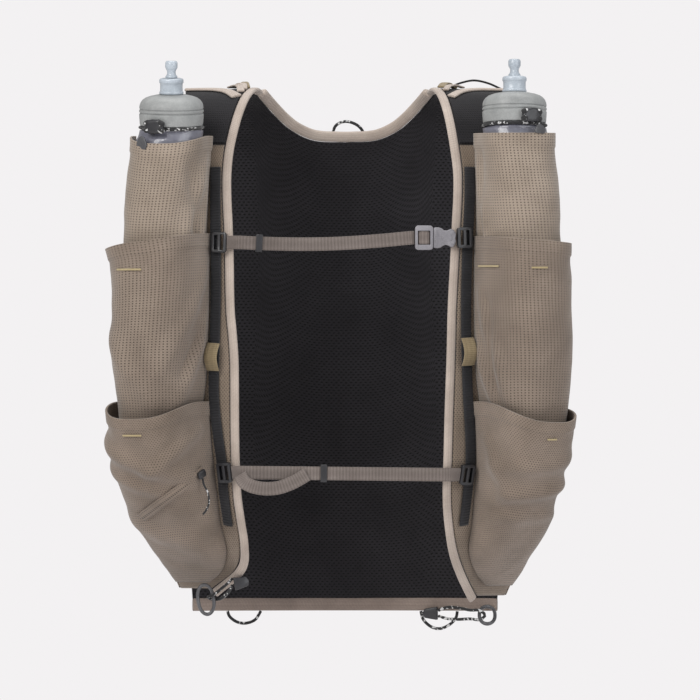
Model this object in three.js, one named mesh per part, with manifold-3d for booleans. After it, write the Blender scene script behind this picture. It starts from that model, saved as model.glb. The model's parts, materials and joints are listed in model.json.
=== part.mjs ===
// A running hydration vest with two soft flasks, as worn: millimetres, +Z up, the front faces -Y.
// The origin is at the shoulders, midway between them, at the height where the vest rests.
import * as THREE from "three";
import Module from "manifold-3d";
import { mergeVertices } from "three/addons/utils/BufferGeometryUtils.js";

// Driving dimensions
const vestDrop = 403; // shoulder line down to the hem
const halfWidth = 180; // middle of the vest to its widest pocket
const chestDepth = 80; // shoulder line forward to the front panels
const backDepth = 100; // shoulder line back to the back panel
const cloth = 1.6; // wall of the stretch mesh
const backMesh = 2.6; // wall of the spacer mesh on the back
const gap = 0.3; // clearance between touching pieces
const neckHalf = 72; // middle to the neckline at the shoulder seam
const shoulderSlope = 0.04; // fall of the shoulder per mm outwards
const frontLean = 0.2; // how far the chest turns back per mm outwards
const bindingWidth = 7;
const bindingThickness = 3.6;
const neckRollWidth = 8.5;
const neckRollThickness = 5;
const hemHeight = 9;
const hemThickness = 3.4;
const trimWidth = 6;
const trimThickness = 1.4;
const railWidth = 8.5;
const railThickness = 2.4;
const webbingWidth = 10.5;
const webbingThickness = 1.3;
const hookWidth = 12;
const hookHeight = 16;
const hookThickness = 3.4;
const hookBar = 2.2; // the bars round the hook's slots
const buckleThickness = 5;
const ladderWidth = 14;
const ladderHeight = 19;
const buckleBodyWidth = 17.5;
const buckleBodyHeight = 16;
const keeperWidth = 5;
const keeperWall = 1.2;
const strapSag = 3;
const tailReach = 9; // how far the lower strap's loose loop stands and hangs off the strap
const tabWidth = 11;
const tabHeight = 21;
const tabReach = 5;
const cordDiameter = 2.4;
const thinCordDiameter = 1.6;
const flaskWidth = 0.3 * halfWidth;
const flaskDepth = 42;
const flaskDrop = 250; // shoulder line to the flask's base
const flaskWall = 1.2;
const flaskTilt = THREE.MathUtils.degToRad(5); // the left cap leans forward, the right one back
const neckRadius = 20.5;
const neckHeight = 20;
const capRadius = 25;
const capHeight = 24;
const capTop = 5;
const capRim = { left: 33.5, right: 32 }; // shoulder line down to the underside of the caps' elastics
const capShift = 3.5; // caps stand this much nearer the middle than the bottles
const elasticHeight = 2.6;
const elasticRadius = 26;
const valveRadius = 9.4;
const valveHeight = 12.4;
const tipRadius = 4.8;
const tipHeight = 13;
const tipBore = 1.5;
const lockLength = 18;
const lockHeight = 13;
const lockThickness = 5;
const pullWidth = 11;
const pullHeight = { left: 11.5, right: 8 };
const pullThickness = 1.4;
const weltWidth = 8.5;
const weltThickness = 1.4;
const sliderWidth = 6;
const sliderHeight = 8;
const sliderThickness = 2.6;
const ringWidth = 15;
const ringHeight = 26;
const ringThickness = 3;
const ringBar = 2.8;
const cordTabWidth = 12;
const cordTabHeight = 10.5;
const cordTabThickness = 4.5;
const roundSides = 8;
const flaskSides = 16;

// The shoulder profile, hem to chest: depth in shares of backDepth behind and of chestDepth in front, height in
// shares of vestDrop.
const backProfile = [
  { depth: 0.78, height: -0.991 },
  { depth: 0.82, height: -0.8 },
  { depth: 0.95, height: -0.5 },
  { depth: 1.0, height: -0.27 },
  { depth: 0.93, height: -0.13 },
  { depth: 0.73, height: -0.05 },
  { depth: 0.42, height: -0.012 },
];
const chestProfile = [
  { depth: 0.0, height: -0.004 },
  { depth: 0.48, height: -0.02 },
  { depth: 0.8, height: -0.06 },
  { depth: 0.97, height: -0.11 },
];
// The half width of the back panel and how far its edges come forward, from the hem up the profile.
const backShape = [
  { run: 0.0, half: 0.66, wrap: 0.27 },
  { run: 0.25, half: 0.7, wrap: 0.25 },
  { run: 0.45, half: 0.69, wrap: 0.2 },
  { run: 0.62, half: 0.66, wrap: 0.12 },
  { run: 0.74, half: 0.67, wrap: 0.04 },
  { run: 0.82, half: 0.69, wrap: 0.0 },
  { run: 1.0, half: 0.7, wrap: 0.0 },
];
// The neckline of the back panel: across in shares of neckHalf, height in shares of vestDrop.
const neckline = [
  { across: 0.0, height: -0.104 },
  { across: 0.35, height: -0.1 },
  { across: 0.6, height: -0.08 },
  { across: 0.8, height: -0.048 },
  { across: 0.93, height: -0.02 },
  { across: 1.0, height: -0.006 },
];
// The yoke's edges from the shoulder seam to the chest, in shares of halfWidth.
const yokeShape = [
  { run: 0.0, inner: 0.4, outer: 0.69 },
  { run: 0.35, inner: 0.425, outer: 0.69 },
  { run: 0.7, inner: 0.46, outer: 0.7 },
  { run: 1.0, inner: 0.495, outer: 0.8 },
];
// Front panels, top row to bottom row: drop in shares of vestDrop, inner, outer and rail in shares of halfWidth,
// depths in shares of chestDepth in front of the shoulder line.
const frontPanel = {
  left: [
    { drop: 0.1128, inner: 0.52, outer: 0.895, innerDepth: 0.915, outerDepth: 0.75, rail: 0.552 },
    { drop: 0.178, inner: 0.533, outer: 0.895, innerDepth: 0.97, outerDepth: 0.76, rail: 0.555 },
    { drop: 0.284, inner: 0.524, outer: 0.91, innerDepth: 1.05, outerDepth: 0.74, rail: 0.552 },
    { drop: 0.33, inner: 0.521, outer: 0.965, innerDepth: 1.07, outerDepth: 0.72, rail: 0.551 },
    { drop: 0.428, inner: 0.516, outer: 0.95, innerDepth: 1.1, outerDepth: 0.69, rail: 0.551 },
    { drop: 0.513, inner: 0.5, outer: 0.93, innerDepth: 1.09, outerDepth: 0.64, rail: 0.556 },
    { drop: 0.62, inner: 0.497, outer: 0.985, innerDepth: 1.04, outerDepth: 0.54, rail: 0.556 },
    { drop: 0.7, inner: 0.495, outer: 0.965, innerDepth: 0.98, outerDepth: 0.44, rail: 0.53 },
    { drop: 0.8, inner: 0.482, outer: 0.915, innerDepth: 0.83, outerDepth: 0.22, rail: 0.51 },
    { drop: 0.884, inner: 0.455, outer: 0.8, innerDepth: 0.56, outerDepth: -0.08, rail: 0.48 },
    { drop: 0.93, inner: 0.475, outer: 0.745, innerDepth: 0.22, outerDepth: -0.28, rail: 0.48 },
    { drop: 0.968, inner: 0.575, outer: 0.71, innerDepth: -0.15, outerDepth: -0.48, rail: 0.6 },
  ],
  right: [
    { drop: 0.1128, inner: 0.495, outer: 0.88, innerDepth: 0.915, outerDepth: 0.75, rail: 0.527 },
    { drop: 0.178, inner: 0.51, outer: 0.88, innerDepth: 0.97, outerDepth: 0.76, rail: 0.535 },
    { drop: 0.284, inner: 0.5, outer: 0.89, innerDepth: 1.05, outerDepth: 0.74, rail: 0.525 },
    { drop: 0.33, inner: 0.495, outer: 0.9, innerDepth: 1.07, outerDepth: 0.72, rail: 0.52 },
    { drop: 0.428, inner: 0.483, outer: 0.895, innerDepth: 1.1, outerDepth: 0.69, rail: 0.515 },
    { drop: 0.513, inner: 0.478, outer: 0.89, innerDepth: 1.09, outerDepth: 0.64, rail: 0.517 },
    { drop: 0.62, inner: 0.47, outer: 0.93, innerDepth: 1.04, outerDepth: 0.54, rail: 0.525 },
    { drop: 0.7, inner: 0.465, outer: 0.915, innerDepth: 0.98, outerDepth: 0.44, rail: 0.535 },
    { drop: 0.8, inner: 0.46, outer: 0.85, innerDepth: 0.83, outerDepth: 0.22, rail: 0.515 },
    { drop: 0.884, inner: 0.482, outer: 0.785, innerDepth: 0.56, outerDepth: -0.08, rail: 0.49 },
    { drop: 0.935, inner: 0.52, outer: 0.735, innerDepth: 0.22, outerDepth: -0.28, rail: 0.49 },
    { drop: 0.982, inner: 0.57, outer: 0.69, innerDepth: -0.15, outerDepth: -0.48, rail: 0.6 },
  ],
};
// Pockets on a front panel, mouth to base: drop in shares of vestDrop, inner and outer in shares of halfWidth,
// lift off the panel in shares of chestDepth.
const flaskPocket = {
  left: [
    { drop: 0.095, inner: 0.575, outer: 0.898, lift: 0.66 },
    { drop: 0.25, inner: 0.594, outer: 0.898, lift: 0.66 },
    { drop: 0.45, inner: 0.602, outer: 0.9, lift: 0.66 },
    { drop: 0.58, inner: 0.612, outer: 0.9, lift: 0.64 },
    { drop: 0.64, inner: 0.65, outer: 0.87, lift: 0.5 },
  ],
  right: [
    { drop: 0.09, inner: 0.56, outer: 0.88, lift: 0.66 },
    { drop: 0.25, inner: 0.566, outer: 0.878, lift: 0.66 },
    { drop: 0.45, inner: 0.577, outer: 0.875, lift: 0.66 },
    { drop: 0.58, inner: 0.586, outer: 0.875, lift: 0.64 },
    { drop: 0.64, inner: 0.615, outer: 0.85, lift: 0.5 },
  ],
};
const chestPocket = {
  left: [
    { drop: 0.283, inner: 0.583, outer: 0.985, lift: 0.8 },
    { drop: 0.36, inner: 0.583, outer: 0.945, lift: 0.76 },
    { drop: 0.45, inner: 0.585, outer: 0.925, lift: 0.74 },
    { drop: 0.56, inner: 0.597, outer: 0.92, lift: 0.72 },
    { drop: 0.65, inner: 0.625, outer: 0.9, lift: 0.64 },
  ],
  right: [
    { drop: 0.288, inner: 0.558, outer: 0.9, lift: 0.82 },
    { drop: 0.36, inner: 0.556, outer: 0.9, lift: 0.78 },
    { drop: 0.45, inner: 0.556, outer: 0.895, lift: 0.76 },
    { drop: 0.56, inner: 0.566, outer: 0.893, lift: 0.72 },
    { drop: 0.65, inner: 0.595, outer: 0.875, lift: 0.64 },
  ],
};
const lowerPocket = {
  left: [
    { drop: 0.606, inner: 0.585, outer: 0.968, lift: 0.87 },
    { drop: 0.69, inner: 0.573, outer: 0.945, lift: 0.8 },
    { drop: 0.77, inner: 0.555, outer: 0.9, lift: 0.62 },
    { drop: 0.84, inner: 0.535, outer: 0.84, lift: 0.44 },
    { drop: 0.9, inner: 0.505, outer: 0.768, lift: 0.28 },
    { drop: 0.935, inner: 0.525, outer: 0.73, lift: 0.17 },
    { drop: 0.955, inner: 0.57, outer: 0.705, lift: 0.09 },
  ],
  right: [
    { drop: 0.606, inner: 0.553, outer: 0.925, lift: 0.87 },
    { drop: 0.69, inner: 0.562, outer: 0.9, lift: 0.8 },
    { drop: 0.77, inner: 0.558, outer: 0.845, lift: 0.62 },
    { drop: 0.84, inner: 0.545, outer: 0.81, lift: 0.44 },
    { drop: 0.9, inner: 0.53, outer: 0.755, lift: 0.28 },
    { drop: 0.94, inner: 0.56, outer: 0.72, lift: 0.17 },
    { drop: 0.962, inner: 0.6, outer: 0.695, lift: 0.09 },
  ],
};
const sideShape = { top: 0.64, bulge: 0.12 }; // drop of its top edge, and swell as a share of its width
const railTop = 0.155; // drops of the rail's ends
const railBottom = 0.845;
const railClearance = 0.9; // the rail's ribs stand on the panel
const pocketRoundness = 0.72; // 1 is a half ellipse, less is squarer
// How far each mouth sags in its middle and falls towards its outer corner, in shares of vestDrop.
const mouths = {
  flask: { left: { sag: 0.016, tilt: 0 }, right: { sag: 0, tilt: 0 } },
  chest: { left: { sag: 0, tilt: 0.034 }, right: { sag: 0, tilt: 0.017 } },
  lower: { left: { sag: 0.034, tilt: 0 }, right: { sag: 0.034, tilt: 0.012 } },
};

const sides = { left: -1, right: 1 };

// A number read smoothly from a table's column at a place along its first column.
function read(table, key, name, at) {
  const last = table.length - 1;
  let i = table.findIndex((row) => row[key] >= at) - 1;
  if (i < -1) i = last - 1;
  i = Math.min(Math.max(i, 0), last - 1);
  const slope = (j) => {
    const before = table[Math.max(j - 1, 0)];
    const after = table[Math.min(j + 1, last)];
    return (after[name] - before[name]) / (after[key] - before[key]);
  };
  const a = table[i];
  const b = table[i + 1];
  const span = b[key] - a[key];
  const t = Math.min(Math.max((at - a[key]) / span, 0), 1);
  const h = t * t * (3 - 2 * t);
  const bend = t * (1 - t) * span;
  return a[name] * (1 - h) + b[name] * h + bend * ((1 - t) * slope(i) - t * slope(i + 1));
}

// One closed mesh, faces outwards, from points and triangles.
function closedBody(points, triangles) {
  const position = new Float32Array(points.flatMap((p) => [p.x, p.y, p.z]));
  let volume = 0;
  for (const [a, b, c] of triangles) {
    volume += points[a].dot(new THREE.Vector3().crossVectors(points[b], points[c]));
  }
  const facing = volume < 0 ? triangles.map(([a, b, c]) => [a, c, b]) : triangles;
  const geometry = new THREE.BufferGeometry();
  geometry.setAttribute("position", new THREE.BufferAttribute(position, 3));
  geometry.setIndex(facing.flat());
  return mergeVertices(geometry, 1e-3);
}

// A cloth wall: a grid over a surface, thickened to both sides.
function wall(surface, columns, rows, thickness) {
  const step = 1e-3;
  const at = (u, v) => surface(Math.min(Math.max(u, 0), 1), Math.min(Math.max(v, 0), 1));
  const points = [];
  for (const side of [0.5, -0.5]) {
    for (let j = 0; j <= rows; j++) {
      for (let i = 0; i <= columns; i++) {
        const u = i / columns;
        const v = j / rows;
        const across = at(u + step, v).sub(at(u - step, v));
        const along = at(u, v + step).sub(at(u, v - step));
        const normal = across.cross(along).normalize();
        points.push(at(u, v).addScaledVector(normal, side * thickness));
      }
    }
  }
  const layer = (columns + 1) * (rows + 1);
  const triangles = [];
  const quad = (a, b, c, d) => triangles.push([a, b, c], [a, c, d]);
  const id = (i, j, k) => k * layer + j * (columns + 1) + i;
  for (let j = 0; j < rows; j++) {
    for (let i = 0; i < columns; i++) {
      quad(id(i, j, 0), id(i + 1, j, 0), id(i + 1, j + 1, 0), id(i, j + 1, 0));
      quad(id(i, j, 1), id(i, j + 1, 1), id(i + 1, j + 1, 1), id(i + 1, j, 1));
    }
    quad(id(0, j, 0), id(0, j + 1, 0), id(0, j + 1, 1), id(0, j, 1));
    quad(id(columns, j, 0), id(columns, j, 1), id(columns, j + 1, 1), id(columns, j + 1, 0));
  }
  for (let i = 0; i < columns; i++) {
    quad(id(i, 0, 0), id(i, 0, 1), id(i + 1, 0, 1), id(i + 1, 0, 0));
    quad(id(i, rows, 0), id(i + 1, rows, 0), id(i + 1, rows, 1), id(i, rows, 1));
  }
  return closedBody(points, triangles);
}

// A closed body through rings of points, each as long as the last, with its two ends capped.
function loft(rings) {
  const count = rings[0].length;
  const points = rings.flat();
  const triangles = [];
  for (let j = 0; j + 1 < rings.length; j++) {
    for (let i = 0; i < count; i++) {
      const a = j * count + i;
      const b = j * count + ((i + 1) % count);
      triangles.push([a, b, b + count], [a, b + count, a + count]);
    }
  }
  for (const [ring, flip] of [
    [0, true],
    [rings.length - 1, false],
  ]) {
    const middle = new THREE.Vector3();
    rings[ring].forEach((p) => middle.addScaledVector(p, 1 / count));
    points.push(middle);
    for (let i = 0; i < count; i++) {
      const a = ring * count + i;
      const b = ring * count + ((i + 1) % count);
      triangles.push(flip ? [b, a, points.length - 1] : [a, b, points.length - 1]);
    }
  }
  return closedBody(points, triangles);
}

// A flat or rounded section swept along points; facings holds the section's thin direction at each of them.
function band(path, facings, width, thickness, { corners = 4, steps = 24 } = {}) {
  const curve = new THREE.CatmullRomCurve3(path, false, "centripetal");
  const rings = [];
  for (let i = 0; i <= steps; i++) {
    const share = i / steps;
    const centre = curve.getPoint(share);
    const forward = curve.getTangent(share);
    const place = share * (path.length - 1);
    const before = Math.min(Math.floor(place), path.length - 2);
    const facing = facings[before].clone().lerp(facings[before + 1], place - before);
    const across = new THREE.Vector3().crossVectors(facing, forward).normalize();
    const up = new THREE.Vector3().crossVectors(forward, across).normalize();
    const reach = corners === 4 ? Math.SQRT2 : 1;
    rings.push(
      Array.from({ length: corners }, (_, k) => {
        const turn = ((k + 0.5) / corners) * 2 * Math.PI;
        const a = (reach * Math.cos(turn) * width) / 2;
        const b = (reach * Math.sin(turn) * thickness) / 2;
        return centre.clone().addScaledVector(across, a).addScaledVector(up, b);
      }),
    );
  }
  return loft(rings);
}

// A cord: a round section extruded along its route.
function cord(route, diameter, steps) {
  const section = new THREE.Shape();
  for (let k = 0; k < roundSides; k++) {
    const turn = (k / roundSides) * 2 * Math.PI;
    const x = (diameter / 2) * Math.cos(turn);
    const y = (diameter / 2) * Math.sin(turn);
    if (k === 0) section.moveTo(x, y);
    else section.lineTo(x, y);
  }
  section.closePath();
  const extrudePath = new THREE.CatmullRomCurve3(
    route.map((p) => new THREE.Vector3(...p)),
    false,
    "centripetal",
  );
  return merged(new THREE.ExtrudeGeometry(section, { steps, extrudePath, bevelEnabled: false }));
}

function merged(geometry) {
  geometry.deleteAttribute("normal");
  geometry.deleteAttribute("uv");
  return mergeVertices(geometry, 1e-3);
}

// A rounded rectangle with rectangular slots, as thick as told, its face towards -Y.
function plate(width, height, thickness, radius, slots = []) {
  const outline = new THREE.Shape();
  const x = width / 2 - radius;
  const y = height / 2 - radius;
  outline.absarc(x, y, radius, 0, Math.PI / 2);
  outline.absarc(-x, y, radius, Math.PI / 2, Math.PI);
  outline.absarc(-x, -y, radius, Math.PI, 1.5 * Math.PI);
  outline.absarc(x, -y, radius, 1.5 * Math.PI, 2 * Math.PI);
  outline.closePath();
  const corners = [[1, 1], [-1, 1], [-1, -1], [1, -1]];
  outline.holes = slots.map(({ x: middle, width: w, height: h }) => {
    return new THREE.Path(corners.map(([i, j]) => new THREE.Vector2(middle + (i * w) / 2, (j * h) / 2)));
  });
  return flatBody(outline, thickness);
}

// An outline drawn across and up, as thick as told, its face towards -Y.
function flatBody(outline, thickness) {
  const options = { depth: thickness, bevelEnabled: false, curveSegments: 2 };
  const geometry = merged(new THREE.ExtrudeGeometry(outline, options));
  geometry.translate(0, 0, -thickness / 2);
  geometry.rotateX(Math.PI / 2);
  return geometry;
}

// A body of revolution about +Z from [radius, height] pairs that start and end on the axis, or close on themselves.
function turned(profile, segments) {
  const closing = profile[0][0] > 0 ? [profile[0]] : [];
  const points = [...profile, ...closing].map(([r, z]) => new THREE.Vector2(r, z));
  const geometry = merged(new THREE.LatheGeometry(points, segments));
  geometry.rotateX(Math.PI / 2);
  return geometry;
}

const profileCurve = new THREE.CatmullRomCurve3(
  [
    ...backProfile.map((p) => new THREE.Vector3(0, p.depth * backDepth, p.height * vestDrop)),
    ...chestProfile.map((p) => new THREE.Vector3(0, -p.depth * chestDepth, p.height * vestDrop)),
  ],
  false,
  "centripetal",
);
const profileLength = profileCurve.getLength();

// The share of the profile at which the back reaches a height.
function shareAtHeight(height) {
  let low = 0;
  let high = shareOfSeam;
  for (let i = 0; i < 24; i++) {
    const middle = (low + high) / 2;
    if (profileCurve.getPointAt(middle).z < height) low = middle;
    else high = middle;
  }
  return low;
}
let shareOfSeam = 1;
while (profileCurve.getPointAt(shareOfSeam).y < 0.35 * backDepth) shareOfSeam -= 0.002;

// The sheet that the back panel and the yokes follow, at a place across and a share of the profile.
function shoulderSheet(x, share) {
  const p = profileCurve.getPointAt(Math.min(Math.max(share, 0), 1));
  const run = Math.min(share / shareOfSeam, 1);
  const half = read(backShape, "run", "half", run) * halfWidth;
  const wrap = read(backShape, "run", "wrap", run) * backDepth;
  const past = Math.max(Math.abs(x) - neckHalf, 0);
  const rising = THREE.MathUtils.smoothstep(share, 0.6 * shareOfSeam, shareOfSeam);
  const falling = 1 - THREE.MathUtils.smoothstep(share, shareOfSeam, 1);
  const chest = THREE.MathUtils.smoothstep(share, shareOfSeam, 1);
  const y = p.y - wrap * (x / half) ** 2 + chest * frontLean * past;
  return new THREE.Vector3(x, y, p.z - shoulderSlope * past * rising * falling);
}

// The back panel: across from -1 to 1, up from 0 at the hem to 1 at the neckline or the shoulder seam.
function backPoint(across, up) {
  const seamHalf = read(backShape, "run", "half", 1) * halfWidth;
  const reach = (Math.abs(across) * seamHalf) / neckHalf;
  const seamShare = shareOfSeam - gap / 2 / profileLength;
  const height = read(neckline, "across", "height", Math.min(reach, 1)) * vestDrop;
  const top = reach < 1 ? Math.min(shareAtHeight(height), seamShare) : seamShare;
  const share = up * top;
  const half = read(backShape, "run", "half", share / shareOfSeam) * halfWidth;
  return shoulderSheet(across * half, share);
}

function yokePoint(side, across, along) {
  const meet = frontPanel[side][0].inner - yokeShape[yokeShape.length - 1].inner;
  const inner = (read(yokeShape, "run", "inner", along) + meet * along ** 2) * halfWidth;
  const outer = read(yokeShape, "run", "outer", along) * halfWidth;
  const start = shareOfSeam + gap / 2 / profileLength;
  const x = sides[side] * THREE.MathUtils.lerp(inner, outer, across);
  return shoulderSheet(x, THREE.MathUtils.lerp(start, 1, along));
}

// A front panel row: its inner and outer ends and the outward normal of the line between them.
function frontRow(side, drop) {
  const table = frontPanel[side];
  const end = (across, depth) =>
    new THREE.Vector3(
      sides[side] * read(table, "drop", across, drop) * halfWidth,
      -read(table, "drop", depth, drop) * chestDepth,
      -drop * vestDrop,
    );
  const inner = end("inner", "innerDepth");
  const outer = end("outer", "outerDepth");
  const across = outer.clone().sub(inner).normalize();
  const normal = new THREE.Vector3(across.y, -across.x, 0).multiplyScalar(sides[side]);
  return { inner, outer, across, normal };
}

// How much longer a front panel's slope is than its drop.
function steepness(side, drop) {
  const step = 0.01;
  const down = frontRow(side, drop + step).inner.sub(frontRow(side, drop - step).inner);
  return down.length() / Math.abs(down.z);
}

// The front panel's middle surface at a distance across from the middle of the vest.
function frontAt(side, x, drop, off = 0) {
  const { inner, outer, normal } = frontRow(side, drop);
  const share = (sides[side] * x - inner.x) / (outer.x - inner.x);
  return inner.clone().lerp(outer, share).addScaledVector(normal, off);
}

// A place over the rail, so far off the rail's back.
function railPlace(side, drop, off) {
  const x = read(frontPanel[side], "drop", "rail", drop) * halfWidth;
  return frontAt(side, x, drop, (cloth / 2 + railClearance + off) * steepness(side, drop));
}

// The rail's outward face at a drop: a place so far off it, with the directions across and up it.
function railFace(side, drop, off) {
  const step = 0.01;
  const across = frontRow(side, drop).across.multiplyScalar(sides[side]);
  const up = railPlace(side, drop - step, 0).sub(railPlace(side, drop + step, 0)).normalize();
  const normal = new THREE.Vector3().crossVectors(across, up).normalize();
  const place = railPlace(side, drop, railThickness / 2).addScaledVector(normal, railThickness / 2 + off);
  return { place, across, up, normal };
}

const panelDrop = (side, along) => {
  const table = frontPanel[side];
  const top = table[0].drop;
  return THREE.MathUtils.lerp(top, table[table.length - 1].drop, along);
};

// A pocket's wall round its panel: turn goes from 0 at the inner seam to 1 at the outer, grow moves it outwards.
function pocketPoint(side, table, turn, drop, grow = 0) {
  const { across, normal } = frontRow(side, drop);
  const inner = frontAt(side, read(table, "drop", "inner", drop) * halfWidth, drop);
  const outer = frontAt(side, read(table, "drop", "outer", drop) * halfWidth, drop);
  const seat = (cloth / 2 + 3 * gap) * steepness(side, drop);
  const lift = read(table, "drop", "lift", drop) * chestDepth + grow;
  const half = inner.distanceTo(outer) / 2 + grow;
  const angle = turn * Math.PI;
  const power = (x) => Math.sign(x) * Math.abs(x) ** pocketRoundness;
  return inner
    .add(outer)
    .multiplyScalar(0.5)
    .addScaledVector(across, -half * power(Math.cos(angle)))
    .addScaledVector(normal, seat + lift * power(Math.sin(angle)));
}

// A place so far off a pocket's outside, seen at a distance across at a drop, with the pocket's normal there.
function pocketPlace(side, table, x, drop, off) {
  let low = 0.03;
  let high = 0.97;
  for (let i = 0; i < 24; i++) {
    const middle = (low + high) / 2;
    if (sides[side] * pocketPoint(side, table, middle, drop).x < x) low = middle;
    else high = middle;
  }
  const step = 0.02;
  const across = pocketPoint(side, table, low + step, drop).sub(pocketPoint(side, table, low - step, drop));
  const down = pocketPoint(side, table, low, drop + step).sub(pocketPoint(side, table, low, drop - step));
  const normal = down.cross(across).multiplyScalar(sides[side]).normalize();
  const point = pocketPoint(side, table, low, drop).addScaledVector(normal, cloth / 2 + gap + off);
  return { point, normal };
}

// How far a mouth is lowered at a turn: a share of the drop that fades out down the pocket.
function mouthFall(mouth, turn, along) {
  const across = (1 - Math.cos(turn * Math.PI)) / 2;
  return (mouth.tilt * across + mouth.sag * Math.sin(turn * Math.PI) ** 2) * (1 - along) ** 2;
}

// An open pocket: one wall from seam to seam under its mouth.
function openPocket(side, table, mouth) {
  const top = table[0].drop;
  const bottom = table[table.length - 1].drop;
  const surface = (turn, along) => {
    const drop = THREE.MathUtils.lerp(top, bottom, along) + mouthFall(mouth, turn, along);
    return pocketPoint(side, table, turn, drop);
  };
  return wall(surface, 9, 8, cloth);
}

// The flask pocket: a bag with a back wall on the panel, open at the top.
function flaskBag(side) {
  const table = flaskPocket[side];
  const top = table[0].drop;
  const bottom = table[table.length - 1].drop;
  const frontSteps = 10;
  const rows = 8;
  const ring = (along, floor, inset) => {
    const ends = THREE.MathUtils.lerp(top, floor, along);
    const front = Array.from({ length: frontSteps + 1 }, (_, i) => {
      const turn = i / frontSteps;
      const drop = ends + mouthFall(mouths.flask[side], turn, along);
      const p = pocketPoint(side, table, turn, drop, -inset);
      return p.addScaledVector(frontRow(side, drop).normal, inset);
    });
    const back = [0.25, 0.5, 0.75].map((share) => front[frontSteps].clone().lerp(front[0], share));
    return [...front, ...back];
  };
  const places = Array.from({ length: rows + 1 }, (_, j) => j / rows);
  const outside = [...places].reverse().map((along) => ring(along, bottom, 0));
  const inside = places.map((along) => ring(along, bottom - cloth / vestDrop, cloth));
  return loft([...outside, ...inside]);
}

// A place on the front opening's edge, from the shoulder seam down: the edge, the way out of the cloth, its normal.
function openingEdge(side, place) {
  const yokeShare = 0.2;
  const at = (p, across) => {
    if (p < yokeShare) return yokePoint(side, across, p / yokeShare);
    const { inner, outer } = frontRow(side, panelDrop(side, (p - yokeShare) / (1 - yokeShare)));
    return inner.lerp(outer, across);
  };
  const step = 0.004;
  const edge = at(place, 0);
  const along = at(Math.min(place + step, 1), 0).sub(at(Math.max(place - step, 0), 0)).normalize();
  const out = edge.clone().sub(at(place, 0.05));
  out.addScaledVector(along, -out.dot(along)).normalize();
  return { edge, out, normal: new THREE.Vector3().crossVectors(along, out).multiplyScalar(sides[side]) };
}

const object = new THREE.Group();

function add(name, geometry, look, parent = object) {
  const mesh = new THREE.Mesh(geometry, new THREE.MeshStandardMaterial({ ...looks[look] }));
  mesh.name = name;
  parent.add(mesh);
  return mesh;
}

const looks = {
  taupe: { color: 0x9d8f7f, roughness: 0.9, metalness: 0 },
  taupeDark: { color: 0x8b8070, roughness: 0.9, metalness: 0 },
  trim: { color: 0xbeb0a2, roughness: 0.8, metalness: 0 },
  black: { color: 0x1e1c1e, roughness: 0.95, metalness: 0 },
  rail: { color: 0x32363a, roughness: 0.8, metalness: 0 },
  webbing: { color: 0x968769, roughness: 0.85, metalness: 0 },
  hardware: { color: 0x141414, roughness: 0.5, metalness: 0 },
  buckle: { color: 0x87878c, roughness: 0.5, metalness: 0 },
  cap: { color: 0xaaafaa, roughness: 0.5, metalness: 0 },
  valve: { color: 0xc8d2d7, roughness: 0.3, metalness: 0 },
  bottle: { color: 0xbebecd, roughness: 0.25, metalness: 0 },
  cord: { color: 0x202020, roughness: 0.9, metalness: 0 },
};

add("back_panel", wall((u, v) => backPoint(2 * u - 1, v), 18, 10, backMesh), "black");

const hemPath = Array.from({ length: 11 }, (_, i) => {
  const p = backPoint(i / 5 - 1, 0);
  p.z -= hemHeight / 2 + gap;
  return p;
});
const hemFacings = hemPath.map(() => new THREE.Vector3(0, 1, 0));
add("hem_band", band(hemPath, hemFacings, hemHeight, hemThickness, { corners: 6, steps: 14 }), "trim");

// The neck binding runs along the back panel's neckline: each place has the way out of the cloth and its normal.
function neckEdge(across) {
  const step = 0.01;
  const edge = backPoint(across, 1);
  const along = backPoint(across + step, 1).sub(backPoint(across - step, 1)).normalize();
  const out = edge.clone().sub(backPoint(across, 0.97));
  out.addScaledVector(along, -out.dot(along)).normalize();
  return { edge, out, normal: new THREE.Vector3().crossVectors(along, out) };
}
const neckReach = (0.97 * neckHalf) / (read(backShape, "run", "half", 1) * halfWidth);
const neckPlaces = Array.from({ length: 17 }, (_, i) => neckEdge(neckReach * (i / 8 - 1)));
const neckPath = neckPlaces.map(({ edge, out }) => edge.clone().addScaledVector(out, neckRollWidth / 2 + 3 * gap));
const neckFacings = neckPlaces.map(({ normal }) => normal);
const round = { corners: 6, steps: 20 };
add("neck_binding", band(neckPath, neckFacings, neckRollWidth, neckRollThickness, round), "trim");

function sidePanel(side) {
  const { top, bulge } = sideShape;
  const bottom = frontPanel[side][frontPanel[side].length - 1].drop;
  const surface = (u, v) => {
    const drop = THREE.MathUtils.lerp(top, bottom, v);
    const { outer, across } = frontRow(side, drop);
    const front = outer.addScaledVector(across, cloth);
    let up = 0.5;
    for (let i = 1; i < 20; i++) up += (backPoint(1, up).z < -drop * vestDrop ? 1 : -1) * 0.5 ** (i + 1);
    const back = backPoint(sides[side], up);
    back.x += sides[side] * (cloth / 2 + gap);
    const swell = Math.sin(u * Math.PI) * bulge * front.distanceTo(back);
    return front.lerp(back, u).add(new THREE.Vector3(sides[side] * swell, 0, 0));
  };
  return wall(surface, 5, 7, cloth);
}

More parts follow.
